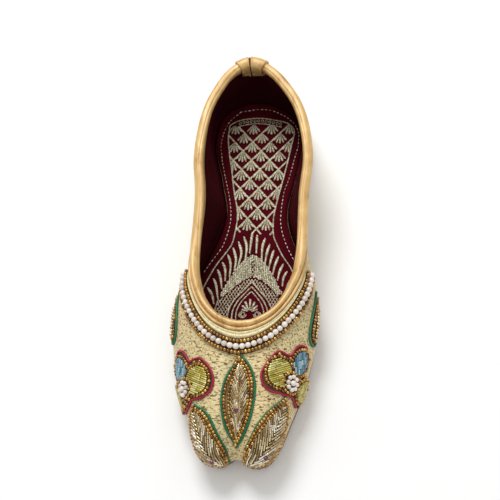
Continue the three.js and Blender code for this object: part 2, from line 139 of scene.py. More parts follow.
def smooth_through(rows, place):
    # the rows hold one extra row before the first place and two after the last
    first = np.clip(np.floor(place).astype(int), 0, len(rows) - 4)
    t = (place - first)[..., None]
    a, b, c, d = rows[first], rows[first + 1], rows[first + 2], rows[first + 3]
    return 0.5 * (2 * b + (c - a) * t + (2 * a - 5 * b + 4 * c - d) * t ** 2
                  + (3 * b - a - 3 * c + d) * t ** 3)


flipped = np.array([1, -1, 1, -1, 1, 1, 1, 1])
SECTION_ROWS = np.vstack([SECTIONS[1] * flipped, SECTIONS, SECTIONS[-2] * flipped,
                          SECTIONS[-3] * flipped])
BOW_ROWS = np.concatenate([SIDE_BOW[:1], SIDE_BOW, SIDE_BOW[-1:], SIDE_BOW[-1:]])[:, None]


def section_at(around):
    around = np.where(around > SEAM, around - 2 * SEAM, around)
    around = np.where(around < -SEAM, around + 2 * SEAM, around)
    side = np.where(around < 0, -1.0, 1.0)
    row = smooth_through(SECTION_ROWS, np.abs(around))
    return [row[..., 0], row[..., 1] * side, row[..., 2], row[..., 3] * side] + [
        row[..., column] for column in range(4, 8)]


def bow_at(y):
    place = np.clip(y / LENGTH + 0.5, 0, 1) * (len(SIDE_BOW) - 1)
    return smooth_through(BOW_ROWS, place)[..., 0]


def spring_at(share):
    return TOE_SPRING * np.maximum(0, 1 - share / SPRING_END) ** 2


def sole_top(y):
    share = y / LENGTH + 0.5
    return SOLE_THICKNESS + spring_at(share) + HEEL_STEP * smooth(
        (share - WAIST_START) / (HEEL_START - WAIST_START))


def widest(around):
    at, half = section_at(around)[:2]
    return np.stack([half * BALL_WIDTH / 2, (at - 0.5) * LENGTH], -1)


def outward(around):
    along = widest(around + 0.001) - widest(around - 0.001)
    along /= np.linalg.norm(along, axis=-1, keepdims=True)
    return np.stack([along[..., 1], -along[..., 0]], -1)


def outline(around, inset):
    # a line drawn inside the widest line of the shoe, in plan, with the side bow
    line = widest(around) - outward(around) * np.asarray(inset)[..., None]
    line[..., 0] += bow_at(line[..., 1])
    return line


def bezier(a, b, c, d, t):
    t = t[..., None]
    return (1 - t) ** 3 * a + 3 * t * (1 - t) ** 2 * b + 3 * t * t * (1 - t) * c + t ** 3 * d


def outer(around, up):
    # outer face of the upper: up 0 is the sole edge, 1 the collar line
    around, up = np.broadcast_arrays(np.asarray(around, float), np.asarray(up, float))
    top_at, top_half, climb, rise, reach, drop = section_at(around)[2:]
    line, out = widest(around), outward(around)
    feather = line - out * OVERHANG
    seat = sole_top(feather[..., 1]) + GAP
    crest = sole_top(feather[..., 1]) - SOLE_THICKNESS + WIDEST_HEIGHT
    top_height = INSTEP_HEIGHT + (HEEL_HEIGHT - INSTEP_HEIGHT) * climb
    foot = np.concatenate([feather, seat[..., None]], -1)
    wide = np.concatenate([line, crest[..., None]], -1)
    top = np.stack([top_half * COLLAR_WIDTH / 2, (top_at - 0.5) * LENGTH, top_height], -1)
    flat = np.concatenate([out, 0 * crest[..., None]], -1)
    low, high = (crest - seat)[..., None], (top_height - crest)[..., None]
    upright = np.array([0, 0, 1.0])
    lower = bezier(foot, foot + flat * OVERHANG * 0.55 + upright * low * 0.22,
                   wide - upright * low * 0.45, wide, np.clip(up / WIDEST_SHARE, 0, 1))
    over = (wide - top) * np.array([1, 1, 0])
    upper = bezier(wide, wide + upright * high * rise[..., None],
                   top + over * reach[..., None] - upright * high * drop[..., None], top,
                   np.clip((up - WIDEST_SHARE) / (1 - WIDEST_SHARE), 0, 1))
    point = np.where((up < WIDEST_SHARE)[..., None], lower, upper)
    point[..., 0] += bow_at(point[..., 1])
    return point


def normal_at(around, up, span=0.001):
    # a wide span, in sections, evens out the valley between the toe lobes
    around, up = np.broadcast_arrays(np.asarray(around, float), np.asarray(up, float))
    across = outer(around + span, up) - outer(around - span, up)
    rising = outer(around, np.minimum(1, up + 0.001)) - outer(around, np.maximum(0, up - 0.001))
    turned = np.cross(across, rising)
    return turned / np.linalg.norm(turned, axis=-1, keepdims=True)


COLUMNS_OF_CAD = np.arange(90) / 3 - 15
plan = outline(COLUMNS_OF_CAD, OVERHANG - SOLE_WELT)
low_corner, high_corner = [np.array(corner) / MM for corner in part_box("outsole")]
SHIFT = np.append((low_corner + high_corner)[:2] / 2 - (plan.min(0) + plan.max(0)) / 2, 0)
print("the model stands this far from the formula, in mm:", SHIFT.round(3))

# %% [markdown]
# Cloth stretched over a last keeps a few folds: short pleats where it is drawn in under the toe, a deeper
# crease between the lobes, and soft flexing folds at the waist. They could be sculpted. Here each one is
# given in the shoe's own sizes, as a soft trough or ridge between two places.

# %% Creases of the upper
CREASES = [
    # around, up  to  around, up    width height, in mm
    (0.0, 0.0, 0.0, 0.34, 7.0, 2.6),
    (0.0, 0.05, 0.0, 0.30, 1.6, -0.50),
    (-1.3, 0.0, -1.2, 0.10, 1.3, -0.35),
    (1.3, 0.0, 1.2, 0.10, 1.3, -0.35),
    (-2.2, 0.0, -2.1, 0.13, 1.5, -0.40),
    (2.2, 0.0, 2.1, 0.12, 1.5, -0.35),
    (-3.1, 0.0, -3.1, 0.12, 1.6, -0.35),
    (3.2, 0.0, 3.1, 0.13, 1.6, -0.40),
    (-4.2, 0.0, -4.3, 0.12, 1.8, -0.30),
    (4.1, 0.0, 4.2, 0.10, 1.8, -0.30),
    (-9.0, 0.22, -9.7, 0.66, 3.4, -0.45),
    (9.1, 0.25, 9.6, 0.62, 3.4, -0.40),
    (-9.9, 0.18, -10.5, 0.58, 3.2, 0.40),
    (9.9, 0.20, 10.4, 0.60, 3.2, 0.35),
    (-10.9, 0.30, -11.3, 0.72, 3.6, -0.40),
    (10.8, 0.26, 11.4, 0.70, 3.6, -0.45),
    (-12.9, 0.12, -13.2, 0.60, 4.0, 0.25),
    (12.9, 0.12, 13.2, 0.60, 4.0, 0.25),
]
SECTION_STEP = 9.0
WALL_HEIGHT = 42.0


def crease(around, up):
    total = np.zeros(np.broadcast(around, up).shape)
    for a0, u0, a1, u1, width, height in CREASES:
        along = np.array([(a1 - a0) * SECTION_STEP, (u1 - u0) * WALL_HEIGHT])
        reach = along @ along
        x, y = (around - a0) * SECTION_STEP, (up - u0) * WALL_HEIGHT
        share = np.clip((x * along[0] + y * along[1]) / reach, 0, 1)
        away = (x - share * along[0]) ** 2 + (y - share * along[1]) ** 2
        total += height * np.exp(-away / width ** 2) * (1 - 0.5 * np.abs(2 * share - 1))
    return total


def face(around, up, height, span=0.001):
    lift = np.asarray(height, float) + crease(np.asarray(around), np.asarray(up))
    return outer(around, up) + normal_at(around, up, span) * lift[..., None]


def up_below_collar(around, depth):
    # where a distance down the outer face from the collar line ends
    around, depth = np.broadcast_arrays(np.asarray(around, float), np.asarray(depth, float))
    samples = np.linspace(1, 0, 141)
    lines = outer(around.reshape(-1, 1), samples[None])
    steps = np.linalg.norm(np.diff(lines, axis=1), axis=2)
    lengths = np.append(np.zeros((len(steps), 1)), np.cumsum(steps, 1), 1)
    found = [np.interp(distance, length, samples)
             for distance, length in zip(depth.ravel(), lengths)]
    return np.array(found).reshape(around.shape)


def rim_direction(around):
    past = outer(around, 1.0) - outer(around, 0.99)
    return past / np.linalg.norm(past, axis=-1, keepdims=True)


# %% [markdown]
# Small helpers turn arrays of points into Blender meshes. Most pieces of a shoe are strips: a section that
# runs round the collar, or between two places. So one helper joins rings of points, closed all round or
# capped at both ends, and another hands the piece to the frame with its material.

# %% Helpers that make meshes
def add_piece(name, points, faces, material, replaced=(), tint=None, uv=None):
    mesh = bpy.data.meshes.new(name)
    placed = (np.asarray(points, float).reshape(-1, 3) + SHIFT) * MM
    mesh.from_pydata(placed.tolist(), [], [list(map(int, corners)) for corners in faces])
    if uv is not None:
        layer = mesh.uv_layers.new(name="sizes")
        corner_of = np.empty(len(mesh.loops), int)
        mesh.loops.foreach_get("vertex_index", corner_of)
        layer.data.foreach_set("uv", np.asarray(uv, float).reshape(-1, 2)[corner_of].ravel())
    if tint is not None:
        tints = mesh.attributes.new("tint", "FLOAT", "POINT")
        tints.data.foreach_set("value", np.asarray(tint, float).ravel())
    mesh.polygons.foreach_set("use_smooth", [True] * len(mesh.polygons))
    mesh.materials.append(material)
    piece = bpy.data.objects.new(name, mesh)
    bpy.context.scene.collection.objects.link(piece)
    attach(piece, "root")
    if replaced:
        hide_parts(*replaced)
    print(name, "faces:", len(mesh.polygons))
    return piece


def joined_rings(columns, rows, round_shoe=True, round_ring=True):
    across = np.arange(columns if round_shoe else columns - 1)
    along = np.arange(rows if round_ring else rows - 1)
    here, row = np.meshgrid(across, along, indexing="ij")
    there, above = (here + 1) % columns, (row + 1) % rows
    quads = np.stack([here * rows + row, there * rows + row,
                      there * rows + above, here * rows + above], -1)
    faces = quads.reshape(-1, 4).tolist()
    if not round_shoe and round_ring:
        faces.append(list(range(rows)))
        faces.append([(columns - 1) * rows + corner for corner in reversed(range(rows))])
    return faces


def sizes_of(rings):
    # distance round the shoe and up its section, in mm, for finishes that follow the piece
    across = np.linalg.norm(np.diff(rings, axis=0), axis=-1).mean(1)
    along = np.linalg.norm(np.diff(rings, axis=1), axis=-1).mean(0)
    u, v = np.append(0, np.cumsum(across)), np.append(0, np.cumsum(along))
    return np.stack(np.meshgrid(u, v, indexing="ij"), -1)


def outward_faces(points, faces):
    # turns all faces over when the closed piece came out inside out
    points = np.asarray(points).reshape(-1, 3)
    volume = 0.0
    for corners in faces:
        ring = points[list(corners)]
        volume += np.einsum("ij,ij->i", np.broadcast_to(ring[0], ring[1:-1].shape),
                            np.cross(ring[1:-1], ring[2:])).sum()
    return [list(reversed(corners)) for corners in faces] if volume < 0 else faces


def add_strip(name, rings, material, replaced, round_shoe=True):
    faces = outward_faces(rings, joined_rings(*rings.shape[:2], round_shoe))
    return add_piece(name, rings, faces, material, replaced, uv=sizes_of(rings))


# %% [markdown]
# A finish is built from a few nodes: a pattern, a ramp that turns it into colours, and a bump that lets the
# same pattern catch the light. Object coordinates are in metres, so a pattern's scale says how many of its
# grains fit in a metre, and each grain keeps its real size.

# %% Helper that makes finishes
MIX_SHARE, MIX_FIRST, MIX_SECOND, MIX_COLOR = 0, 6, 7, 2


class Finish:
    def __init__(self, name, **values):
        self.material = bpy.data.materials.new(name)
        self.material.use_nodes = True
        self.tree = self.material.node_tree
        self.shader = self.tree.nodes["Principled BSDF"]
        self.set(self.shader, **values)
        self.place = self.tree.nodes.new("ShaderNodeTexCoord").outputs["Object"]

    def set(self, node, **values):
        for name, value in values.items():
            node.inputs[name.replace("_", " ")].default_value = value
        return node

    def add(self, kind, links=(), **values):
        node = self.set(self.tree.nodes.new("ShaderNode" + kind), **values)
        for name, source in dict(links).items():
            self.tree.links.new(source, node.inputs[name])
        return node

    def turned(self, angle, stretch):
        node = self.add("Mapping", {"Vector": self.place})
        node.inputs["Rotation"].default_value = [math.radians(a) for a in angle]
        node.inputs["Scale"].default_value = stretch
        return node.outputs["Vector"]

    def noise(self, grain, detail=3.0, distortion=0.0, place=None, roughness=0.5):
        node = self.add("TexNoise", {"Vector": place or self.place}, Scale=1 / (grain * MM),
                        Detail=detail, Distortion=distortion, Roughness=roughness)
        return node.outputs["Fac"]

    def ramp(self, factor, *stops):
        # a stop is a position with a colour, or with one number for a grey
        node = self.add("ValToRGB", {"Fac": factor})
        while len(node.color_ramp.elements) < len(stops):
            node.color_ramp.elements.new(0.5)
        for element, (position, color) in zip(node.color_ramp.elements, stops):
            element.position = position
            element.color = (*np.broadcast_to(color, 3), 1)
        return node.outputs["Color"]

    def multiplied(self, first, second, share=1.0):
        node = self.tree.nodes.new("ShaderNodeMix")
        node.data_type, node.blend_type = "RGBA", "MULTIPLY"
        node.inputs[MIX_SHARE].default_value = share
        self.tree.links.new(first, node.inputs[MIX_FIRST])
        self.tree.links.new(second, node.inputs[MIX_SECOND])
        return node.outputs[MIX_COLOR]

    def bump(self, height, distance, strength=1.0, under=None):
        node = self.add("Bump", {"Height": height}, Distance=distance * MM, Strength=strength)
        if under is not None:
            self.tree.links.new(under, node.inputs["Normal"])
        return node.outputs["Normal"]

    def tint(self):
        node = self.tree.nodes.new("ShaderNodeAttribute")
        node.attribute_name = "tint"
        return node.outputs["Fac"]

    def sizes(self):
        node = self.tree.nodes.new("ShaderNodeUVMap")
        node.uv_map = "sizes"
        return node.outputs["UV"]

    def link(self, source, socket):
        self.tree.links.new(source, self.shader.inputs[socket])


# %% [markdown]
# The upper is covered with gold tissue cloth. Its metal threads crinkle into a net of fine short wrinkles,
# and each wrinkle holds a thin dark shadow. A woven image could show that, but a stretched noise does it at
# any distance: the same noise darkens the folds and pushes them in.

# %% Gold cloth
def gold_cloth():
    finish = Finish("gold_cloth", Metallic=0.12, Roughness=0.5, Sheen_Weight=0.15)
    slanted = finish.turned((0, 0, -14), (0.45, 1, 1.5))
    wrinkles = finish.noise(0.95, detail=1.5, distortion=0.7, place=slanted, roughness=0.5)
    folds = finish.noise(4.5, detail=3, distortion=1.0, place=slanted)
    weave = finish.noise(0.55, detail=2)
    patches = finish.noise(26, detail=2)
    gold = finish.ramp(wrinkles, (0.345, (0.13, 0.09, 0.03)), (0.405, (0.36, 0.27, 0.12)),
                       (0.46, (0.70, 0.55, 0.29)), (0.70, (0.81, 0.68, 0.40)))
    warmth = finish.ramp(patches, (0.3, (0.92, 0.97, 0.93)), (0.7, (1.0, 0.95, 0.86)))
    finish.link(finish.multiplied(gold, warmth), "Base Color")
    finish.link(finish.ramp(weave, (0.35, 0.62), (0.65, 0.36)), "Roughness")
    fine = finish.bump(weave, 0.12, 0.6)
    finish.link(finish.bump(folds, 0.8, 0.6, finish.bump(wrinkles, 0.5, 0.7, fine)), "Normal")
    return finish.material


GOLD_CLOTH = gold_cloth()

# %% [markdown]
# Velvet is a pile of short upright fibres. It looks almost black where one looks into the pile and glows at
# grazing angles. Single hairs would be far too many here, so the sheen of the shader gives the glow, and a
# fine bump with a slow change of colour gives the brushed pile.

# %% Velvet
def velvet(name, shade):
    finish = Finish(name, Roughness=0.95, Specular_IOR_Level=0.1, Sheen_Weight=0.3 * shade,
                    Sheen_Roughness=0.4, Sheen_Tint=(0.55, 0.01, 0.05, 1))
    pile = finish.noise(0.32, detail=2)
    brushed = finish.noise(14, detail=3, place=finish.turned((0, 0, 20), (1, 0.4, 0.4)))
    maroon_and_shade = finish.ramp(brushed, (0.3, (0.055 * shade, 0.0008 * shade, 0.004 * shade)),
                       (0.7, (0.115 * shade, 0.0012 * shade, 0.009 * shade)))
    specks = finish.ramp(pile, (0.3, 0.6), (0.7, 1.0))
    finish.link(finish.multiplied(maroon_and_shade, specks), "Base Color")
    finish.link(finish.bump(pile, 0.3, 0.7), "Normal")
    return finish.material


# the second copy, at 0.4, is painted shade: the same velvet with colour and sheen darkened for the dim lining
VELVET, SHADED_VELVET = velvet("velvet", 1.0), velvet("shaded_velvet", 0.4)

# %% [markdown]
# The upper itself is a wall of 2 mm: cloth on leather outside, velvet inside. It is made as two shells that
# lie against each other. Each one is a closed ring of points, repeated round the shoe and joined, so the
# wall has its real thickness at the collar and turns in under the insole as a lasting margin.

# %% Upper and lining
CLOTH_THICKNESS = 1.1
SHELL_GAP = 0.05
WALL_FOOT = 0.14
ROUND = 480
arounds = np.arange(ROUND) * 2 * SEAM / ROUND - SEAM


def margin_point(inset, height):
    spot = outline(arounds, inset)
    return np.append(spot, (sole_top(spot[:, 1]) + GAP + height)[:, None], 1)


def wall_rows(ups, height):
    return [face(arounds, up, height) for up in ups]


outer_ups = np.concatenate([np.linspace(0, WIDEST_SHARE, 16), np.linspace(WIDEST_SHARE, 1, 52)[1:]])
outer_rows = wall_rows(outer_ups, 0.0)
back_rows = wall_rows(np.linspace(1, WALL_FOOT, 16), -CLOTH_THICKNESS)
turned_in = [margin_point(OVERHANG + WALL, MARGIN_THICKNESS),
             margin_point(OVERHANG + WALL + MARGIN_WIDTH, MARGIN_THICKNESS),
             margin_point(OVERHANG + WALL + MARGIN_WIDTH, 0.0)]
cloth_rings = np.stack(outer_rows + back_rows + turned_in, 1)
add_strip("upper_cloth", cloth_rings, GOLD_CLOTH, ["upper"])

lining_outside = wall_rows(np.linspace(WALL_FOOT, 1, 12), -CLOTH_THICKNESS - SHELL_GAP)
lining_inside = wall_rows(np.linspace(1, WALL_FOOT, 44), -WALL)
foot_of_lining = [margin_point(OVERHANG + WALL, MARGIN_THICKNESS + 2 * SHELL_GAP)]
lining_rings = np.stack(lining_outside + lining_inside + foot_of_lining, 1)
# the lining takes the darker copy of the velvet, painted shade for the inside of the walls
add_strip("velvet_lining", lining_rings, SHADED_VELVET, ["upper"])

# %% [markdown]
# Sole leather is thick, and burnished with wax at its edge. There its layers show as fine level lines. A
# painted stripe would look printed, so a noise that is stretched along the sole draws the lines, and a
# slower noise rubs the colour pale and dull in patches.

# %% Sole leather
def sole_leather():
    finish = Finish("sole_leather", Roughness=0.55, Coat_Weight=0.12, Coat_Roughness=0.35)
    layers = finish.noise(1.1, detail=2, place=finish.turned((0, 0, 0), (0.03, 0.03, 1)))
    grain = finish.noise(0.8, detail=4)
    wear = finish.noise(30, detail=4)
    brown = finish.ramp(layers, (0.35, (0.17, 0.085, 0.036)), (0.5, (0.24, 0.128, 0.055)),
                        (0.68, (0.29, 0.16, 0.07)))
    rubbed = finish.ramp(wear, (0.35, (0.72, 0.70, 0.66)), (0.65, 1.0))
    finish.link(finish.multiplied(brown, rubbed), "Base Color")
    finish.link(finish.ramp(wear, (0.3, 0.72), (0.7, 0.42)), "Roughness")
    fine = finish.bump(grain, 0.25, 0.6)
    finish.link(finish.bump(layers, 0.4, 0.5, fine), "Normal")
    return finish.material


SOLE_LEATHER = sole_leather()

# %% [markdown]
# The outsole is one stack of leather with a low heel step and a raised waist. A groove for stitches runs
# along its narrow welt. A spine down the middle and a line round the edge carry the rings, so the step at
# the front of the heel stays sharp and straight.

# %% Outsole
HEEL_BREAST = (HEEL_START - 0.5) * LENGTH
SPINE_END = 92
SOLE_INSET = OVERHANG - SOLE_WELT
SOLE_ROUND = 360
EDGE_WIDTH, EDGE_DROP = 1.6, 1.1
EDGE_TOP = [
    # share of the edge's width inwards, mm down from the top: the stitch groove, then the corner
    (0.55, 0.0), (0.42, 0.0), (0.36, 0.35), (0.24, 0.35), (0.18, 0.0), (0.05, 0.02), (0.0, 0.14),
    (0.0, 0.9), (0.12, 1.0), (0.0, EDGE_DROP),
]
EDGE_SIDE = [
    # share of the way down to the underside, mm inwards: a fine groove, then the rounded lower corner
    (0.45, 0.0), (0.53, 0.12), (0.6, 0.0), (0.9, 0.0), (0.97, 0.15),
]


def columns_with_breast():
    # the heel's front edge falls between two close columns on each side
    fine = np.linspace(8.0, 13.0, 600)
    y = outline(fine, SOLE_INSET)[:, 1]
    breast = [float(np.interp(HEEL_BREAST + step, y, fine)) for step in (-0.8, -0.02, 0.02)]
    even = np.arange(SOLE_ROUND) * 2 * SEAM / SOLE_ROUND - SEAM
    return np.sort(np.concatenate([even, breast, [-place for place in breast]]))


def under_sole(y):
    share = y / LENGTH + 0.5
    arch = spring_at(share) + ARCH_RISE * smooth((share - WAIST_START) / (ARCH_FULL - WAIST_START))
    return np.where(share >= HEEL_START, 0, arch)


def between_spine_and_edge(places, inset, share, height):
    edge = outline(places, inset)
    y = np.clip(edge[:, 1], -SPINE_END, SPINE_END)
    spine = np.stack([bow_at(y), y], 1)
    spot = spine + (edge - spine) * share
    return np.append(spot, height(spot[:, 1])[:, None], 1)


def edge_height(y, share):
    return sole_top(y) - EDGE_DROP + (under_sole(y) - sole_top(y) + EDGE_DROP) * share


def sole_rings():
    places = columns_with_breast()

    def row(depth, share, height):
        return between_spine_and_edge(places, SOLE_INSET + depth, share, height)

    return np.stack(
        [row(0, share, sole_top) for share in (0.0, 0.3, 0.6, 0.85)]
        + [row(inward * EDGE_WIDTH, 1.0, lambda y: sole_top(y) - down) for inward, down in EDGE_TOP]
        + [row(depth, 1.0, lambda y: edge_height(y, share)) for share, depth in EDGE_SIDE]
        + [row(depth, 1.0, under_sole) for depth in (0.5, EDGE_WIDTH)]
        + [row(EDGE_WIDTH, share, under_sole) for share in (0.8, 0.5, 0.2, 0.0)], 1)


add_strip("leather_outsole", sole_rings(), SOLE_LEATHER, ["outsole"])

# %% [markdown]
# The insole is a thin foam pad under velvet. It is full, so its edge rolls down where it meets the lining,
# and the stitches round it pull a shallow channel. The rings run from the middle to the edge like the
# sole's.

# %% Padded insole
INSOLE_BASE = 2 * GAP + MARGIN_THICKNESS
CHANNEL_DEPTH, CHANNEL_WIDTH = 0.55, 1.5
PUFF = 0.125
ROLL, ROLL_START = 1.5, 0.88
MARGIN_LEFT = [(-28, -5), (-24, 2), (-18, 12), (-15, 22), (-13.8, 30), (-14.5, 40), (-17, 52), (-20, 64),
               (-22.5, 76), (-23.5, 88), (-20, 102), (-12.5, 111)]
MARGIN_RIGHT = [(30, -6), (26.5, 2), (21.5, 12), (18.0, 22), (16.6, 32), (17.9, 49.2), (20.6, 60),
                (22.9, 71.9), (25.5, 86.6), (23.5, 99), (14, 108.5), (2, 112.8), (-12.5, 111)]


def line_distance(x, y, line):
    nearest = np.full(np.shape(x), 1e9)
    for (x0, y0), (x1, y1) in zip(line[:-1], line[1:]):
        dx, dy = x1 - x0, y1 - y0
        share = np.clip(((x - x0) * dx + (y - y0) * dy) / (dx * dx + dy * dy), 0, 1)
        nearest = np.minimum(nearest, np.hypot(x - x0 - share * dx, y - y0 - share * dy))
    return nearest


def insole_top(x, y):
    channel = np.minimum(line_distance(x, y, MARGIN_LEFT), line_distance(x, y, MARGIN_RIGHT))
    puff = PUFF * np.sin(y / 9.0 + 0.6) * np.cos(x / 8.0)
    sewn_down = CHANNEL_DEPTH * np.exp(-(channel / CHANNEL_WIDTH) ** 2)
    return sole_top(y) + INSOLE_BASE + INSOLE_THICKNESS - sewn_down + puff


def insole_rings():
    edge = outline(arounds, OVERHANG + WALL + GAP)
    y = np.clip(edge[:, 1], -SPINE_END, SPINE_END)
    spine = np.stack([bow_at(y), y], 1)
    rows = []
    for share in np.concatenate([np.linspace(0, 0.9, 26), [0.93, 0.955, 0.975, 0.99, 1.0]]):
        spot = spine + (edge - spine) * share
        roll = ROLL * np.clip((share - ROLL_START) / (1 - ROLL_START), 0, 1) ** 2.4
        rows.append(np.append(spot, (insole_top(spot[:, 0], spot[:, 1]) - roll)[:, None], 1))
    for share, height in ((1.0, 0.8), (0.99, 0.0), (0.5, 0.0), (0.0, 0.0)):
        spot = spine + (edge - spine) * share
        rows.append(np.append(spot, (sole_top(spot[:, 1]) + INSOLE_BASE + height)[:, None], 1))
    return np.stack(rows, 1)


insole = add_strip("padded_insole", insole_rings(), VELVET, ["insole"])

# %% [markdown]
# Leatherette is cloth with a soft coloured skin. Where a strip of it is turned round a curve it puckers,
# and shade falls in the folds. It could be one flat brown. Here small cells give the grain, and a
# stretched noise gives the puckers, both as painted shade in the colour and as bump.

# %% Tan leatherette
def leatherette():
    finish = Finish("leatherette", Metallic=0.1, Roughness=0.4, Coat_Weight=0.15, Coat_Roughness=0.3)
    grain = finish.add("TexVoronoi", {"Vector": finish.place}, Scale=1 / (0.5 * MM)).outputs["Distance"]
    creased = finish.noise(5, detail=4, distortion=1.2, place=finish.turned((0, 0, 25), (1, 0.35, 1)))
    patches = finish.noise(16, detail=3)
    # the dark end of this ramp is painted shade in the folds of the puckers
    tan_and_pucker_shade = finish.ramp(creased, (0.32, (0.46, 0.265, 0.082)), (0.44, (0.645, 0.40, 0.142)),
                      (0.72, (0.74, 0.505, 0.21)))
    rubbed = finish.ramp(patches, (0.3, (0.90, 0.88, 0.86)), (0.6, 1.0))
    finish.link(finish.multiplied(tan_and_pucker_shade, rubbed), "Base Color")
    finish.link(finish.ramp(patches, (0.3, 0.5), (0.7, 0.32)), "Roughness")
    fine = finish.bump(grain, 0.08, 0.5)
    finish.link(finish.bump(creased, 0.45, 0.5, fine), "Normal")
    return finish.material


LEATHERETTE = leatherette()

# %% [markdown]
# The collar is bound with a strip of leatherette, folded over the edge of the upper and stitched down. A
# cord inside makes it full along the edge, then a groove with stitches follows, then a second, smaller
# roll. The section is drawn once as depth below the edge and height over the wall, and swept round.

# %% Collar binding
BINDING_HEIGHT, BINDING_RISE = 1.85, 1.75
BINDING_OUTSIDE = [
    # depth below the collar line and height over the wall, in mm
    (4.55, 0.55), (4.45, 1.15), (4.15, 1.55), (3.7, 1.72), (3.2, 1.66), (2.8, 1.35), (2.55, 0.9),
    (2.35, 0.45), (2.2, 0.35), (2.05, 0.5), (1.85, 1.0), (1.55, 1.45), (1.1, 1.8), (0.6, 1.98),
    (0.0, BINDING_HEIGHT),
]
BINDING_INSIDE = [(0.0, BINDING_HEIGHT), (0.8, 1.95), (1.8, 1.8), (2.7, 1.45), (3.5, 1.3), (4.2, 1.15),
                  (4.5, 0.6)]
CROWN_GROOVE, CROWN_GROOVE_WIDTH, CROWN_GROOVE_DEPTH = 0.66, 0.03, 0.5
UNEVEN_OUTSIDE, UNEVEN_INSIDE = 0.10, 0.08
CLEAR = 0.1


def wavy(around, size):
    # a hand-turned edge is never even
    return size * (np.sin(around * 2.3 + 0.4) + 0.6 * np.sin(around * 5.1 + 2.0)
                   + 0.35 * np.sin(around * 11.7 + 1.1)) / 2


def binding_rings():
    outside = [face(arounds, up_below_collar(arounds, depth),
                    height + wavy(arounds + depth, UNEVEN_OUTSIDE)) for depth, height in BINDING_OUTSIDE]
    inner_side = [face(arounds, up_below_collar(arounds, depth),
                       -WALL - height - wavy(arounds - depth, UNEVEN_INSIDE))
                  for depth, height in BINDING_INSIDE]
    past, across = rim_direction(arounds), normal_at(arounds, 1.0)
    middle = face(arounds, 1.0, -WALL / 2)
    half = WALL / 2 + BINDING_HEIGHT
    crown = []
    for share in np.linspace(0.12, 0.88, 21):
        from_groove = (share - CROWN_GROOVE) / CROWN_GROOVE_WIDTH
        groove = 1 - CROWN_GROOVE_DEPTH / half * math.exp(-from_groove ** 2)
        turn = share * math.pi
        arch = across * half * math.cos(turn) + past * BINDING_RISE * math.sin(turn)
        crown.append(middle + arch * groove + past * wavy(arounds, UNEVEN_OUTSIDE)[:, None])
    under = [face(arounds, up_below_collar(arounds, 4.4), -WALL - CLEAR),
             face(arounds, 1.0, -WALL - CLEAR) + past * 0.15,
             face(arounds, 1.0, CLEAR) + past * 0.15,
             face(arounds, up_below_collar(arounds, 4.5), CLEAR)]
    return np.stack(outside + crown + inner_side + under, 1)


add_strip("collar_roll", binding_rings(), LEATHERETTE, ["collar_binding"])

# %% [markdown]
# A ridged strip of the same stuff, in a paler gold, follows the binding across the vamp. Behind it lie
# the beds for the bead rows. Each bed is a dark brown strip, painted shadow that shows only between beads.

# %% Throat band and bead beds
def pale_band():
    finish = Finish("pale_gold_band", Metallic=0.15, Roughness=0.42)
    threads = finish.add("TexWave", {"Vector": finish.sizes()}, Scale=0.32, Distortion=0.6, Detail=2.0,
                         Detail_Scale=2.0).outputs["Fac"]
    grain = finish.noise(0.8, detail=3)
    gold = finish.ramp(grain, (0.3, (0.52, 0.43, 0.20)), (0.55, (0.80, 0.70, 0.42)),
                       (0.75, (0.90, 0.82, 0.56)))
    shade = finish.ramp(threads, (0.0, (0.80, 0.78, 0.72)), (0.4, 1.0))
    finish.link(finish.multiplied(gold, shade), "Base Color")
    fine = finish.bump(grain, 0.2, 0.6)
    finish.link(finish.bump(threads, 0.15, 0.4, fine), "Normal")
    return finish.material


def felt(name, dark, light):
    finish = Finish(name, Roughness=0.8)
    nap = finish.noise(0.6, detail=3)
    finish.link(finish.ramp(nap, (0.3, dark), (0.7, light)), "Base Color")
    finish.link(finish.bump(nap, 0.2, 0.6), "Normal")
    return finish.material


PALE_BAND = pale_band()
# dark brown felt: painted shadow where it shows between beads and in gaps
SHADOW_FELT = felt("shadow_felt", (0.035, 0.016, 0.004), (0.10, 0.052, 0.014))
GOLDEN_BED = felt("golden_bed", (0.17, 0.105, 0.04), (0.38, 0.26, 0.115))


def wing_share(around):
    return np.minimum(1, np.abs(around) / WING_END)


def band_end(around):
    return BINDING_DEPTH + GAP + BAND_WIDTH * (1 - WING_TAPER * wing_share(around) ** 2)


def row_depths(around):
    # where the bed of each bead row starts and ends, below the collar line
    gold_upper = band_end(around) + GAP
    pearl = gold_upper + BEAD + GAP
    gold_lower = pearl + PEARL + GAP
    return {"gold_row_upper": (gold_upper, gold_upper + BEAD),
            "pearl_row": (pearl, pearl + PEARL),
            "gold_row_lower": (gold_lower, gold_lower + BEAD)}


END_TAPER = 0.35
wing = np.linspace(-WING_END, WING_END, 240)
ends = np.clip((WING_END - np.abs(wing)) / END_TAPER, 0.05, 1) ** 0.5


def vamp_strip(start, end, profile):
    return np.stack([face(wing, up_below_collar(wing, start + (end - start) * share), height * ends)
                     for share, height in profile], 1)


band_profile = [(0.0, 0.15), (0.02, 0.9), (0.10, 1.35), (0.24, 1.5), (0.36, 1.25), (0.42, 1.1), (0.5, 1.3),
                (0.64, 1.5), (0.78, 1.45), (0.90, 1.15), (0.98, 0.7), (1.0, 0.15), (0.5, 0.15)]
band_start = np.full(wing.shape, BINDING_DEPTH + GAP)
add_strip("ridged_band", vamp_strip(band_start, band_end(wing), band_profile), PALE_BAND,
          ["throat_band"], round_shoe=False)
bed_profile = [(0.0, 0.1), (0.05, 0.55), (0.3, 0.7), (0.7, 0.7), (0.95, 0.55), (1.0, 0.1), (0.5, 0.1)]
for row, (start, end) in row_depths(wing).items():
    add_strip(row + "_bed", vamp_strip(start, end, bed_profile), SHADOW_FELT,
              [row], round_shoe=False)

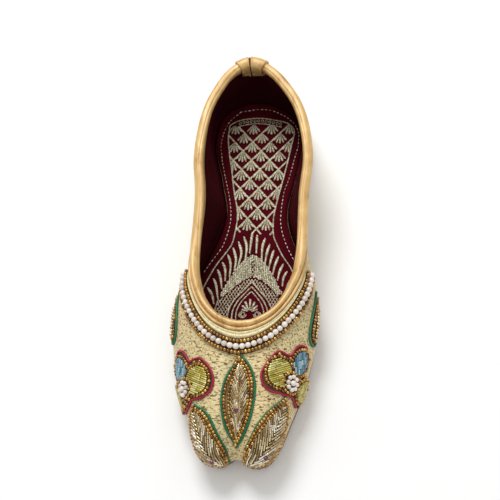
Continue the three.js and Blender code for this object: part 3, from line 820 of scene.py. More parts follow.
# %% [markdown]
# Seed beads are short glass barrels with a dark hole, sewn down one by one, so no two sit quite alike.
# One rounded barrel is drawn once and copied to every place, a little turned, shifted and resized each
# time. All copies are joined in one mesh, since hundreds of single objects would be slow. A random number
# goes with each bead, and the finish turns it into its tint.

# %% Helpers that place beads
def barrel(profile, sides):
    # rows of (place along the thread, radius), from one end to the other; the ends close to a point
    points, faces = [], []
    for along, radius in profile:
        for side in range(sides):
            turn = 2 * math.pi * side / sides
            points.append((radius * math.cos(turn), radius * math.sin(turn), along))
    for row in range(len(profile) - 1):
        for side in range(sides):
            after = (side + 1) % sides
            faces.append([row * sides + side, row * sides + after, (row + 1) * sides + after,
                          (row + 1) * sides + side])
    last = (len(profile) - 1) * sides
    faces.append(list(reversed(range(sides))))
    faces.append([last + side for side in range(sides)])
    return np.array(points), faces


SEED = barrel([(-0.92, 0.30), (-0.86, 0.62), (-0.52, 0.90), (0, 1.0), (0.52, 0.90), (0.86, 0.62),
               (0.92, 0.30)], 10)
ROUND_BEAD = barrel([(-1, 0.12), (-0.88, 0.48), (-0.62, 0.79), (-0.24, 0.97), (0.24, 0.97),
                     (0.62, 0.79), (0.88, 0.48), (1, 0.12)], 14)
BUGLE = barrel([(-1, 0.45), (-0.98, 0.85), (-0.9, 1.0), (0.9, 1.0), (0.98, 0.85), (1, 0.45)], 6)
STITCH = barrel([(-1, 0.15), (-0.7, 0.75), (0, 1.0), (0.7, 0.75), (1, 0.15)], 6)


def place_many(name, shape, row, sizes, material, replaced=(), unevenness=1.0):
    # row: the place, thread direction and upright of each bead
    # sizes: half of the width, the height and the length along the thread, for all or for each bead
    (points, faces), (centres, along, normals) = shape, row
    count = len(centres)
    sizes = np.broadcast_to(np.asarray(sizes, float), (count, 3))
    along = along + chance.normal(0, 0.06 * unevenness, (count, 3))
    along /= np.linalg.norm(along, axis=1, keepdims=True)
    normals = normals - along * (normals * along).sum(1, keepdims=True)
    normals /= np.linalg.norm(normals, axis=1, keepdims=True)
    across = np.cross(normals, along)
    scale = sizes * (1 + chance.normal(0, 0.035 * unevenness, (count, 1)))
    centres = centres + chance.normal(0, 0.05 * unevenness, (count, 3))
    placed = (centres[:, None]
              + across[:, None] * points[None, :, :1] * scale[:, None, :1]
              + normals[:, None] * points[None, :, 1:2] * scale[:, None, 1:2]
              + along[:, None] * points[None, :, 2:] * scale[:, None, 2:])
    every = []
    for copy in range(count):
        start = copy * len(points)
        every.extend([[start + corner for corner in ring] for ring in faces])
    tints = np.repeat(chance.random(count), len(points))
    print(name, "copies:", count)
    return add_piece(name, placed, every, material, replaced, tints)


# %% [markdown]
# Beads follow lines drawn on the leather. A line is a few places in the shoe's own measure, section round
# the shoe and share of the way up, with a smooth curve through them. Walking along it in equal steps gives
# the place, the thread's direction and the upright of every bead.

# %% Helpers that walk along lines on the upper
PAD_SPAN = 0.8


def smooth_line(places, steps=24, closed=False):
    rows = np.array(places, float)
    if closed:
        rows = np.vstack([rows[-1], rows, rows[0], rows[1]])
        spans = len(places)
    else:
        rows = np.vstack([2 * rows[0] - rows[1], rows, 2 * rows[-1] - rows[-2], rows[-1]])
        spans = len(places) - 1
    place = np.linspace(0, spans, spans * steps + 1)
    place[-1] -= 1e-9
    return smooth_through(rows, place)


def lengths_along(spots):
    return np.append(0, np.cumsum(np.linalg.norm(np.diff(spots, axis=0), axis=1)))


def at_stops(stops, lengths, line):
    return np.stack([np.interp(stops, lengths, column) for column in line.T], 1)


def walk(line, pitch, height, closed=False, span=PAD_SPAN):
    spots = face(*line.T, height, span)
    lengths = lengths_along(spots)
    count = max(2, int(round(lengths[-1] / pitch)) + (0 if closed else 1))
    stops = np.linspace(0, lengths[-1], count, endpoint=not closed)
    spots = at_stops(stops, lengths, spots)
    if closed:
        along = np.roll(spots, -1, 0) - np.roll(spots, 1, 0)
    else:
        along = np.gradient(spots, axis=0)
    along /= np.linalg.norm(along, axis=1, keepdims=True)
    return spots, along, normal_at(*at_stops(stops, lengths, line).T, span)


def joined_rows(rows):
    return [np.vstack(part) for part in zip(*rows)]


def on_face(points, around, up):
    # place on the outer face nearest to each point, found in a few steps from a first guess
    around = np.broadcast_to(around, points.shape[:-1]).astype(float)
    up = np.broadcast_to(up, points.shape[:-1]).astype(float)
    for _ in range(7):
        off = points - outer(around, up)
        by_around = (outer(around + 0.002, up) - outer(around - 0.002, up)) / 0.004
        by_up = (outer(around, up + 0.002) - outer(around, up - 0.002)) / 0.004
        aa, au, uu = (by_around ** 2).sum(-1), (by_around * by_up).sum(-1), (by_up ** 2).sum(-1)
        ra, ru = (by_around * off).sum(-1), (by_up * off).sum(-1)
        share = aa * uu - au * au + 1e-9
        around = around + np.clip((ra * uu - ru * au) / share, -0.6, 0.6)
        up = np.clip(up + np.clip((aa * ru - au * ra) / share, -0.12, 0.12), 0.01, 0.99)
    return around, up


def beside(line, distance):
    # the line, moved sideways on the face by a distance in mm: plus is to its left, seen from outside
    spots = outer(*line.T)
    along = np.gradient(spots, axis=0)
    along /= np.linalg.norm(along, axis=1, keepdims=True)
    left = np.cross(normal_at(*line.T, PAD_SPAN), along)
    return np.stack(on_face(spots + left * distance, *line.T), 1)


# %% [markdown]
# Gold seed beads are brown glass with a metal lining, and pearls here are plastic with a pale lustre. Both
# are smooth, so they want low roughness and a clear coat, and the tint from each bead's random number keeps
# the rows from looking printed.

# %% Finishes of beads
def bead_finish(name, tints, speckle=0.0, **values):
    finish = Finish(name, **values)
    color = finish.ramp(finish.tint(), *tints)
    if speckle:
        streaks = finish.ramp(finish.noise(0.7, detail=2), (0.35, (0.25, 0.22, 0.18)), (0.6, 1.0))
        color = finish.multiplied(color, streaks, speckle)
    finish.link(color, "Base Color")
    return finish.material


GOLD_BEADS = bead_finish(
    "gold_beads", [(0.0, (0.14, 0.055, 0.010)), (0.4, (0.34, 0.16, 0.025)), (0.8, (0.56, 0.30, 0.05)),
                   (1.0, (0.72, 0.45, 0.13))], Metallic=0.75, Roughness=0.22, Coat_Weight=0.5,
    Coat_Roughness=0.08)
PEARLS = bead_finish(
    "pearls", [(0.0, (0.60, 0.50, 0.43)), (0.5, (0.78, 0.68, 0.60)), (1.0, (0.88, 0.80, 0.74))],
    Roughness=0.2, Coat_Weight=0.7, Coat_Roughness=0.06)

# %% [markdown]
# Three rows run round the throat: seed beads, pearls, seed beads. Each row follows the middle of its bed
# from wing to wing.

# %% Bead rows of the throat
def row_line(name):
    start, end = row_depths(wing)[name]
    return np.stack([wing, up_below_collar(wing, (start + end) / 2)], 1)


for name in ("gold_row_upper", "gold_row_lower"):
    place_many(name + "_beads", SEED, walk(row_line(name), BEAD * 0.93, 1.5, span=0.001),
               (1.02, 1.02, 0.98), GOLD_BEADS, [name])
place_many("pearl_row_pearls", ROUND_BEAD, walk(row_line("pearl_row"), PEARL * 0.98, 2.0, span=0.001),
           (1.66, 1.64, 1.68), PEARLS, ["pearl_row"])

# %% [markdown]
# The binding is sewn down by a row of stitches in its groove. They lie below the level of the rolls, so the
# thread is not rubbed through.

# %% Stitches in the groove of the binding
GROOVE_DEPTH, STITCH_PITCH = 2.2, 2.7
TAN_THREAD = bead_finish("tan_thread", [(0.0, (0.22, 0.11, 0.03)), (1.0, (0.42, 0.24, 0.08))],
                         Roughness=0.6)
whole_collar = np.linspace(-SEAM + 0.5, SEAM - 0.5, 600)
groove_line = np.stack([whole_collar, up_below_collar(whole_collar, GROOVE_DEPTH)], 1)
place_many("binding_stitches", STITCH, walk(groove_line, STITCH_PITCH, 0.5, span=0.001),
           (0.3, 0.3, 0.95), TAN_THREAD, ["collar_binding"], unevenness=0.5)

# %% [markdown]
# Raised motifs are padded: a felt shape is sewn on first, and cords and beads cover it. Felt shows only
# between the beads. Its edge lies on the cloth and its middle is domed, like the pads of the frame.

# %% Felt pads
PAD_PROFILE = [
    # share of the way from the middle to the border, height over the face in mm
    (0.4, 0.05), (0.8, 0.05), (1.0, 0.05), (1.0, 0.3), (0.97, 0.55), (0.9, 0.72), (0.75, 0.86), (0.5, 1.0),
    (0.25, 1.05),
]


def field_top(around):
    # the motifs' field ends at the lowest bead row
    return up_below_collar(around, band_end(around) + 4 * GAP + 2 * BEAD + PEARL)


def in_field(line):
    around, up = line.T
    return np.stack([around, up * field_top(around)], 1)


# by default the felt is the dark brown of painted shadow between the beads
def felt_pad(node, line, middle, material=SHADOW_FELT):
    rings = np.stack([face(*(middle + (line - middle) * share).T, height, PAD_SPAN)
                      for share, height in PAD_PROFILE], 1)
    count, depth = rings.shape[:2]
    faces = joined_rings(count, depth, round_ring=False)
    faces.append([place * depth for place in range(count)])
    faces.append([place * depth + depth - 1 for place in reversed(range(count))])
    add_piece(node + "_felt", rings, outward_faces(rings, faces), material, [node])


# %% [markdown]
# Cords frame the motifs, green silk round the leaves and magenta round the flowers. A cord is two strands
# twisted together. A round tube would look like wire, so the section here has two lobes, and it turns as it
# goes along.

# %% Twisted cords
def silk(name, dark, light, tint):
    finish = Finish(name, Roughness=0.42, Sheen_Weight=0.12, Sheen_Roughness=0.4, Sheen_Tint=(*tint, 1))
    fibres = finish.noise(0.5, detail=3)
    finish.link(finish.ramp(fibres, (0.3, dark), (0.7, light)), "Base Color")
    finish.link(finish.bump(fibres, 0.1, 0.5), "Normal")
    return finish.material


GREEN_SILK = silk("green_silk", (0.0, 0.06, 0.025), (0.0, 0.21, 0.085), (0.0, 0.4, 0.2))
MAGENTA_SILK = silk("magenta_silk", (0.20, 0.001, 0.018), (0.50, 0.004, 0.052), (0.5, 0.015, 0.08))
TWIST, RINGS_A_TWIST, CORD_SIDES, LOBES = 2.6, 7, 10, 0.17


def twisted_cord(line, radius=0.62, height=0.6):
    spots, along, normals = walk(line, TWIST / RINGS_A_TWIST, height)
    across = np.cross(normals, along)
    ring = np.arange(len(spots))
    turns = ring * (TWIST / RINGS_A_TWIST) * 2 * math.pi / TWIST
    taper = np.minimum(1, (np.minimum(ring, ring[::-1]) + 0.5) / 3)
    corners = []
    for side in range(CORD_SIDES):
        angle = 2 * math.pi * side / CORD_SIDES
        reach = radius * (1 + LOBES * np.cos(2 * (angle - turns))) * taper
        corners.append(spots + across * (reach * math.cos(angle))[:, None]
                       + normals * (reach * math.sin(angle))[:, None])
    return np.stack(corners, 1)


def add_cords(name, cords, material, replaced):
    points, faces, start = [], [], 0
    for rings in cords:
        own = outward_faces(rings, joined_rings(*rings.shape[:2], round_shoe=False))
        faces.extend([[start + corner for corner in ring] for ring in own])
        points.append(rings.reshape(-1, 3))
        start += rings.shape[0] * rings.shape[1]
    add_piece(name, np.vstack(points), faces, material, replaced)


# %% [markdown]
# A leaf is worked like embroidery. Seed beads follow both edges in a double row, and thin glass bugles
# slant from the midrib to the edges, each pair a little further on, with a small stone on the midrib. So
# the helper measures a leaf in two ways: how far along its midrib, and how far out to either edge.

# %% Leaves
GLASS_BUGLES = bead_finish(
    "glass_bugles", [(0.0, (0.27, 0.17, 0.065)), (0.3, (0.47, 0.33, 0.14)), (0.7, (0.77, 0.62, 0.37)),
                     (1.0, (0.98, 0.93, 0.80))], speckle=0.3, Metallic=0.7, Roughness=0.2, Coat_Weight=0.6,
    Coat_Roughness=0.05)
STONES = bead_finish("stones", [(0.0, (0.10, 0.002, 0.045)), (1.0, (0.30, 0.01, 0.13))],
                     Roughness=0.08, Coat_Weight=1.0, Coat_Roughness=0.03)
CUT_STONE = barrel([(-0.5, 0.8), (0.1, 1.0), (0.62, 0.72), (0.8, 0.45)], 8)
SEED_PITCH = BEAD * 0.9
BUGLE_RADIUS, BUGLE_GAP, BRIDGE = 0.54, 0.06, 0.6
RUN_STEP, SHORTEST_RUN, BEYOND_TIP = 0.1, 16, 8


def evened(line, count=160):
    lengths = lengths_along(outer(*line.T))
    return at_stops(np.linspace(0, lengths[-1], count), lengths, line)


class Leaf:
    # two edges from the rear tip to the front tip, as places in the motif field
    def __init__(self, left, right):
        self.left, self.right = (evened(in_field(smooth_line(edge))) for edge in (left, right))
        between = (outer(*self.left.T) + outer(*self.right.T)) / 2
        self.mid = np.stack(on_face(between, *((self.left + self.right) / 2).T), 1)
        self.length = np.linalg.norm(np.diff(outer(*self.mid.T), axis=0), axis=1).sum()

    def ring(self):
        return np.vstack([self.left, self.right[::-1][1:-1]])

    def edge(self, side):
        return self.right if side > 0 else self.left

    def half_width(self, side):
        return np.linalg.norm(outer(*self.edge(side).T) - outer(*self.mid.T), axis=1)

    def row(self, side, inset):
        # a line inside one edge, where the leaf is wide enough for it
        width = self.half_width(side)
        keep = width > inset + 0.2
        share = (1 - inset / np.maximum(width, 0.1))[:, None]
        return (self.mid + (self.edge(side) - self.mid) * share)[keep]

    def at(self, along, out, side):
        # along the midrib from 0 at the rear to 1 at the front; out from 0 at the midrib to 1 at the edge
        stops = np.linspace(0, 1, len(self.mid))
        mid, edge = at_stops([along], stops, self.mid)[0], at_stops([along], stops, self.edge(side))[0]
        return mid + (edge - mid) * out

    def bugles(self, inset, pitch=1.02, slant=math.radians(27), longest=5.2):
        # lines slant from the midrib to the inner bead row, and each is cut in bugles of equal length
        starts, stops = [], []
        measured = np.linspace(0, self.length, len(self.mid))
        step = pitch / math.sin(slant)
        run = np.arange(0.3, 24, RUN_STEP)
        for side, shift in ((-1, 0.0), (1, 0.5)):
            width = self.half_width(side)
            for station in np.arange(self.length + BEYOND_TIP - shift * step, 2, -step):
                rear, out = station - run * math.cos(slant), run * math.sin(slant)
                room = np.interp(rear, measured, width) - inset - out
                fits = np.flatnonzero((room >= 0) & (rear >= 1.5) & (rear <= self.length - 1.6))
                if len(fits) < SHORTEST_RUN:
                    continue
                parts = int(math.ceil((run[fits[-1]] - run[fits[0]]) / longest))
                cuts = np.linspace(run[fits[0]], run[fits[-1]], parts + 1)
                for low, high in zip(cuts[:-1] + BUGLE_GAP, cuts[1:] - BUGLE_GAP):
                    for distance, kept in ((low, starts), (high, stops)):
                        back, aside = station - distance * math.cos(slant), distance * math.sin(slant)
                        wide = np.interp(back, measured, width)
                        kept.append(self.at(back / self.length, aside / max(wide, 0.1), side))
        return np.array(starts), np.array(stops)


def add_bugles(name, starts, stops, height, material, slot, node):
    begin, end = face(*starts.T, height, PAD_SPAN), face(*stops.T, height, PAD_SPAN)
    middle, halfway = (begin + end) / 2, ((starts + stops) / 2).T
    upright = normal_at(*halfway, PAD_SPAN)
    # a stiff bugle bridges the curve below it, so its middle rises towards the face
    rise = ((face(*halfway, height, PAD_SPAN) - middle) * upright).sum(1)
    middle = middle + upright * np.maximum(0, rise)[:, None] * BRIDGE
    half = np.linalg.norm(end - begin, axis=1) / 2
    thick = np.full(len(half), BUGLE_RADIUS)
    place_many(name, BUGLE, (middle, end - begin, upright), np.stack([thick, thick, half], 1),
               material, [node], unevenness=0.8)


def apart(spots, distance):
    # keeps a bead only where no earlier one lies closer than the distance
    keep = []
    for place, spot in enumerate(spots):
        if not keep or np.linalg.norm(spots[keep] - spot, axis=1).min() > distance:
            keep.append(place)
    return keep


def add_seeds(node, row, keep, sizes):
    place_many(node + "_seed_beads", SEED, [part[keep] for part in row], sizes, GOLD_BEADS,
               [node])


def add_leaf(node, leaf, cord_sides, stone):
    felt_pad(node, leaf.ring(), leaf.mid[len(leaf.mid) // 2], GOLDEN_BED)
    every = [walk(leaf.row(side, inset), SEED_PITCH, height)
             for side in (-1, 1) for inset, height in ((1.0, 1.0), (2.45, 1.35))]
    row = joined_rows(every)
    outermost = np.repeat([True, False, True, False], [len(part[0]) for part in every])
    keep = apart(row[0], 1.3)
    add_seeds(node, row, keep, np.where(outermost[keep, None], (1.0, 0.98, 0.92), (0.74, 0.74, 0.86)))
    add_bugles(node + "_bugles", *leaf.bugles(2.95), 1.55, GLASS_BUGLES, "beadwork", node)
    cords = [twisted_cord(beside(leaf.edge(side), 0.35)) for side in cord_sides]
    add_cords(node + "_cord", cords, GREEN_SILK, [node])
    spot, upright = face(*stone, 2.45, PAD_SPAN)[None], normal_at(*stone, PAD_SPAN)[None]
    place_many(node + "_stone", CUT_STONE, (spot, upright, np.cross(upright, [0, 1.0, 0])),
               (1.35, 1.35, 1.0), STONES, [node])


CENTRE_LEFT = [(0.6, 1.0), (-0.6, 0.975), (-1.6, 0.91), (-1.95, 0.82), (-1.75, 0.71), (-1.2, 0.59),
               (-0.55, 0.50), (0.12, 0.42)]
CENTRE_RIGHT = [(0.6, 1.0), (1.55, 0.965), (2.15, 0.905), (2.25, 0.83), (1.9, 0.72), (1.3, 0.60),
                (0.7, 0.50), (0.12, 0.42)]
TOE_RIGHT_INNER = [(4.85, 0.62), (4.1, 0.68), (3.2, 0.695), (2.65, 0.67), (2.2, 0.625), (1.7, 0.54),
                   (1.3, 0.42), (1.12, 0.17)]
TOE_RIGHT_OUTER = [(4.85, 0.62), (4.80, 0.48), (4.45, 0.34), (3.8, 0.255), (2.8, 0.21), (1.9, 0.19),
                   (1.12, 0.19)]
TOE_LEFT_INNER = [(-4.3, 0.635), (-3.4, 0.685), (-2.72, 0.67), (-2.25, 0.615), (-1.7, 0.53), (-1.3, 0.42),
                  (-1.1, 0.17)]
TOE_LEFT_OUTER = [(-4.3, 0.635), (-4.45, 0.54), (-4.4, 0.45), (-4.05, 0.355), (-3.5, 0.27), (-2.6, 0.205),
                  (-1.8, 0.19), (-1.1, 0.19)]
add_leaf("leaf_centre", Leaf(CENTRE_LEFT, CENTRE_RIGHT), (-1, 1), (0.2, 0.657))
add_leaf("leaf_toe_right", Leaf(TOE_RIGHT_INNER, TOE_RIGHT_OUTER), (-1,), (2.73, 0.323))
add_leaf("leaf_toe_left", Leaf(TOE_LEFT_OUTER, TOE_LEFT_INNER), (1,), (-2.22, 0.287))

# %% [markdown]
# The panel on the insole is machine embroidery in zari, a flat pale gold metal thread. Every broad line is
# satin stitch: short stitches laid side by side across it. So a line is drawn flat as seen from above, and
# one small rounded stitch is placed across it every half millimetre, sunk a little in the velvet.

# %% Zari thread and satin stitches
ZARI = bead_finish("zari_thread", [(0.0, (0.40, 0.36, 0.22)), (0.5, (0.76, 0.71, 0.49)),
                                   (1.0, (0.95, 0.92, 0.74))], Metallic=0.2, Roughness=0.34)
THREAD = barrel([(-1, 0.25), (-0.65, 0.9), (0.65, 0.9), (1, 0.25)], 5)
THREAD_HEIGHT = 0.3
MIDDLE_X = 1.5


def way_at(degrees):
    return np.array([math.cos(math.radians(degrees)), math.sin(math.radians(degrees))])


def spaced(line, step):
    # places in equal steps along a flat line, the heading at each and the share of the length
    line = np.asarray(line, float)
    lengths = lengths_along(line)
    stops = np.arange(step / 2, lengths[-1], step)
    behind, spots, ahead = (at_stops(stops + shift, lengths, line) for shift in (-step / 2, 0, step / 2))
    headings = np.arctan2(*(ahead - behind).T[::-1])
    return spots, headings, stops / lengths[-1]


def inside(places, polygon):
    # a place is inside when a line to its side crosses the border an odd number of times
    x, y = places[:, 0], places[:, 1]
    odd = np.zeros(len(places), bool)
    for (x0, y0), (x1, y1) in zip(polygon, polygon[1:] + polygon[:1]):
        odd ^= ((y0 > y) != (y1 > y)) & (x < x0 + (y - y0) * (x1 - x0) / (y1 - y0 + 1e-9))
    return odd


class Sewing:
    # gathers stitches as rows of x, y, heading, half length, half width
    def __init__(self, within=None):
        self.rows, self.within = [], within

    def put(self, spots, headings, half_length, half_width):
        rows = np.stack(np.broadcast_arrays(*spots.T, headings, half_length, half_width), 1)
        self.rows.append(rows if self.within is None else rows[inside(rows[:, :2], self.within)])

    def satin(self, line, width, step=0.55, lean=20):
        # width: one value, or a function of the share of the length
        spots, headings, share = spaced(line, step)
        half = (width(share) if callable(width) else width) / 2
        self.put(spots, headings + math.radians(90 - lean), half, step * 0.52)

    def running(self, line, length, gap, width):
        spots, headings, _ = spaced(line, length + gap)
        self.put(spots, headings, length / 2, width / 2)

    def sew(self, name, height=0.1):
        x, y, heading, half_length, half_width = np.concatenate(self.rows).T
        slope_x = insole_top(x + 0.5, y) - insole_top(x - 0.5, y)
        slope_y = insole_top(x, y + 0.5) - insole_top(x, y - 0.5)
        normals = np.stack([-slope_x, -slope_y, np.ones(len(x))], 1)
        rise = slope_x * np.cos(heading) + slope_y * np.sin(heading)
        along = np.stack([np.cos(heading), np.sin(heading), rise], 1)
        centres = np.stack([x, y, insole_top(x, y) + height], 1)
        sizes = np.stack([half_width, np.full(len(x), THREAD_HEIGHT), half_length], 1)
        place_many(name, THREAD, (centres, along, normals), sizes, ZARI, unevenness=0.7)


# %% [markdown]
# Two border lines run down the sides of the panel, and double arcs with small loops close it at the heel.
# Behind the borders, long single stitches hold the velvet down on the foam all round.

# %% Borders and edge stitches
PANEL_LEFT = [(-19, 100), (-19.2, 88.7), (-17.5, 76.4), (-15.5, 66), (-12.9, 50), (-10.3, 38),
              (-9.7, 30), (-10.5, 22), (-12, 14), (-16, 7), (-20.5, 0), (-25, -10), (-28, -19),
              (-29.5, -30), (-27.5, -43), (-20, -56), (-8, -66), (MIDDLE_X, -70)]
PANEL_RIGHT = [(19, 101), (22.5, 95), (20.8, 82), (19, 70), (16.3, 55), (13.5, 40), (12.3, 30), (12.8, 20),
               (15, 14), (19, 6), (23, 0), (25.5, -5), (29, -15), (30.5, -28), (29, -42), (22.5, -55),
               (11, -65.5), (MIDDLE_X, -70)]
HEEL_ARC = [(-19, 100), (-14, 103.3), (-7, 105), (1, 105.4), (9, 104), (15, 102.5), (19, 101)]
borders = Sewing()
for border in (PANEL_LEFT, PANEL_RIGHT, HEEL_ARC):
    borders.satin(smooth_line(border), 0.95)
borders.satin(smooth_line([(x * 0.94, y - 4.2) for x, y in HEEL_ARC[1:-1]]), 0.8)
arc_spots, arc_headings, _ = spaced(smooth_line([(x * 0.97, y - 2.1) for x, y in HEEL_ARC[1:-1]]), 2.4)
for (x, y), heading in zip(arc_spots, arc_headings):
    turns = np.linspace(0, 2 * math.pi, 9) + heading
    borders.running(np.stack([x + 0.75 * np.cos(turns), y + 0.95 * np.sin(turns)], 1), 0.8, 0.1, 0.5)
borders.sew("panel_borders")
edge_stitches = Sewing()
for margin in (MARGIN_LEFT, MARGIN_RIGHT):
    edge_stitches.running(smooth_line(margin), 1.7, 1.0, 0.6)
edge_stitches.sew("edge_stitches", height=0.05)

# %% [markdown]
# The long part of the panel is a trellis of crossing lines. A small fan of five petals hangs in each of its
# meshes, from the upper crossing. The petals are satin too, narrow at the root and round at the tip.

# %% Trellis with fans
MESH_X, MESH_Y = 5.75, 7.0
FIRST_X, FIRST_Y = -3.5, 87.0
PETAL_TURNS = ((-34, 7.0), (-16, 8.0), (0, 8.4), (16, 8.0), (34, 7.0))
trellis_field = (smooth_line(PANEL_LEFT[:8], 6).tolist() + [[MIDDLE_X, 20.5]]
                 + smooth_line(PANEL_RIGHT[:8], 6)[::-1].tolist()
                 + [[9, 99.8], [1, 101.2], [-7, 100.8], [-14, 99.1]])


def petal_width(share):
    return 0.35 + 1.05 * smooth(share / 0.75) - 0.8 * np.clip((share - 0.86) / 0.14, 0, 1) ** 2


trellis = Sewing(trellis_field)
for lean in (-1, 1):
    for start in range(-14, 16, 2):
        foot_x = FIRST_X + MESH_X * start
        head_x = foot_x + lean * 20 * MESH_X
        trellis.satin([(foot_x, FIRST_Y - 14 * MESH_Y), (head_x, FIRST_Y + 6 * MESH_Y)], 1.25)
trellis.sew("trellis")
fans = Sewing(trellis_field)
for row in range(-9, 3):
    for column in range(-4, 6):
        crossing = np.array([FIRST_X + MESH_X * column, FIRST_Y + MESH_Y * row])
        if (row + column) % 2 == 0 and inside(crossing[None] - (0, 6.5), trellis_field)[0]:
            for turn, length in PETAL_TURNS:
                way = way_at(turn - 90)
                fans.satin([crossing + way, crossing + way * length], petal_width)
fans.sew("fans", height=0.16)

# %% [markdown]
# Below the trellis long feather strokes sweep outwards, down to a broad pointed band that is filled closely
# with stitches. Each stroke is thickest near its tip.

# %% Feather strokes and pointed band
FEATHERS = [[(0, 22), (-0.6, 14), (-1, 8)], [(-5, 19), (-3, 12), (-3.5, 2)],
            [(-8, 15.5), (-6, 8), (-7.5, -1)], [(-11, 11.5), (-9, 4), (-9.5, -4)],
            [(-14, 7), (-12, 1), (-12, -8)], [(-17, 2), (-15, -3), (-14.5, -11)],
            [(-19.5, -3), (-17.5, -8), (-16, -16)], [(-21.5, -9), (-19.5, -14), (-18, -22)],
            [(-24.5, -15), (-21.5, -20), (-20, -26)], [(-26, -21.5), (-23, -26), (-20.5, -30)],
            [(3, 20), (3, 14), (3, 8)], [(8, 18), (6.5, 12), (6.5, 3)], [(11, 14), (9.3, 8), (8.5, 0)],
            [(13.5, 10), (12, 4), (11, -2)], [(16.5, 6), (14.5, 0), (13.5, -6)],
            [(19.5, 1), (17.5, -4), (16.5, -10)], [(22, -4), (20, -8), (19.5, -14)],
            [(24.5, -9), (22.5, -14), (21.5, -20)], [(27, -15), (25, -20), (23, -26)],
            [(-27, -29), (-24.5, -33), (-21.5, -36.5)], [(-26.5, -36.5), (-23.5, -40), (-19.5, -42.5)],
            [(-24, -44), (-21, -46.5), (-17, -48)], [(-20, -51), (-17, -52.5), (-13, -53)],
            [(28.5, -22), (26, -26.5), (23, -31.5)], [(28.5, -30), (26, -34), (22.5, -38)],
            [(27.5, -37.5), (24.5, -41), (20.5, -43.5)], [(24.5, -45), (21.5, -47.5), (17.5, -49)],
            [(20.5, -51.5), (17.5, -53), (13.5, -53.5)]]
WING_LEFT = [(MIDDLE_X, 7.5), (-4, 3.5), (-9, -3), (-13, -11), (-17.5, -22), (-14, -20), (-8, -14),
             (-3, -10), (0, -8)]
WING_RIGHT = [(MIDDLE_X, 7.5), (6, 4), (11, -2), (15, -9), (20, -19), (17, -20), (12, -14), (7, -10),
              (3, -8)]
ACROSS_PANEL = 32


def feather_width(share):
    return 1.1 + 0.9 * smooth(share / 0.18) - 0.8 * smooth((share - 0.3) / 0.7)


def parallels(slope, middle, count, pitch):
    # parallel lines across the panel at a slope in degrees, a pitch apart, as many on each side of a middle
    way = way_at(slope)
    for row in range(-count, count + 1):
        on_line = np.array(middle) + np.array([-way[1], way[0]]) * row * pitch
        yield row, on_line - way * ACROSS_PANEL, on_line + way * ACROSS_PANEL, way


feathers = Sewing()
for stroke in FEATHERS:
    feathers.satin(smooth_line(stroke), feather_width, lean=35)
feathers.sew("feathers")
pointed_band = Sewing()
for wing_field, slope in ((WING_LEFT, 50), (WING_RIGHT, 130)):
    pointed_band.within = wing_field
    for row, start, end, way in parallels(slope, (0.0, -6.0), 44, 0.72):
        pointed_band.running([start - way * (row % 2 * 0.9), end], 1.5, 0.15, 0.86)
pointed_band.sew("pointed_band")

# %% [markdown]
# The front of the panel holds a net of fine thread with round gaps, then an ogee in double outline with a
# palmette and two scrolls inside. Most of it lies under the vamp, but it is there for a look from behind.

# %% Net, ogee and palmette
NET_MIDDLE = [(MIDDLE_X, 6), (3.4, -8), (0.2, -8)]
NET_FRONT = [(-0.5, -9), (-3.5, -11.2), (-8, -15), (-14, -21), (-17.5, -23), (-18.7, -33), (-14.8, -44),
             (-8, -53), (1.5, -61), (1.5, -57.8), (-5.6, -50.6), (-11.2, -40.5), (-12, -31),
             (-9.3, -23.8), (-4, -17), (1.5, -11), (7, -17), (12.3, -23.8), (15, -31), (14.2, -40.5),
             (8.6, -50.6), (1.5, -57.8), (1.5, -61), (11, -53), (17.8, -44), (21.7, -33), (20.5, -22),
             (17, -21), (12, -15.2), (7, -11.2), (3.5, -9)]
NET_BORDER = [(-17.5, -22), (-19.2, -33), (-15.2, -44.5), (-8.4, -53.6), (1.5, -62)]
OGEES = [[(1.5, -11), (-3.5, -17), (-8.6, -23.5), (-11.3, -31), (-10.5, -40), (-5, -50), (1.5, -57)],
         [(1.5, -14.2), (-2.3, -18.6), (-6.5, -24.4), (-8.8, -31), (-8.2, -39), (-4, -47), (1.5, -53)],
         [(1.5, -17.4), (-1.2, -20.4), (-4.6, -25.2), (-6.5, -31), (-6, -38), (-3, -44), (1.5, -49)]]
net = Sewing()
for field in (NET_MIDDLE, NET_FRONT):
    net.within = field
    for slope in (60, 120):
        for _, start, end, _ in parallels(slope, (MIDDLE_X, -16.0), 26, 1.65):
            net.running([start, end], 0.9, 0.05, 0.62)
net.sew("net")
ogee = Sewing()
for half_outline, width in zip(OGEES + [NET_BORDER], (1.0, 1.0, 0.8, 0.9)):
    drawn = smooth_line(half_outline)
    ogee.satin(drawn, width)
    ogee.satin(drawn * (-1, 1) + (2 * MIDDLE_X, 0), width, lean=-20)
palmette_root = np.array([MIDDLE_X - 0.3, -30.5])
for turn, length in ((-72, 5.0), (-48, 6.0), (-24, 7.2), (0, 8.2), (24, 7.2), (48, 6.0), (72, 5.0)):
    way = way_at(90 - turn)
    ogee.satin([palmette_root + way, palmette_root + way * length],
               lambda share: 0.6 + 0.9 * smooth(share / 0.7))
for side in (-1, 1):
    turns = np.linspace(0, 3.4 * math.pi, 60)
    radii = 2.3 * (1 - turns / 16)
    scroll_x = MIDDLE_X + side * (4.4 - radii * np.cos(turns))
    ogee.satin(np.stack([scroll_x, -32.3 - radii * np.sin(turns)], 1), 0.8)
ogee.sew("ogee")

# %% [markdown]
# A flower has three petals round a rosette of pearls. Each petal is an oval ring of seed beads, filled with
# parallel bugles in its own colour of glass. A petal is drawn flat, in mm, on the plane that touches the
# shoe at its middle, and each point then drops onto the nearest place of the face. Single seed beads fill
# the felt that is left bare up to the cord.

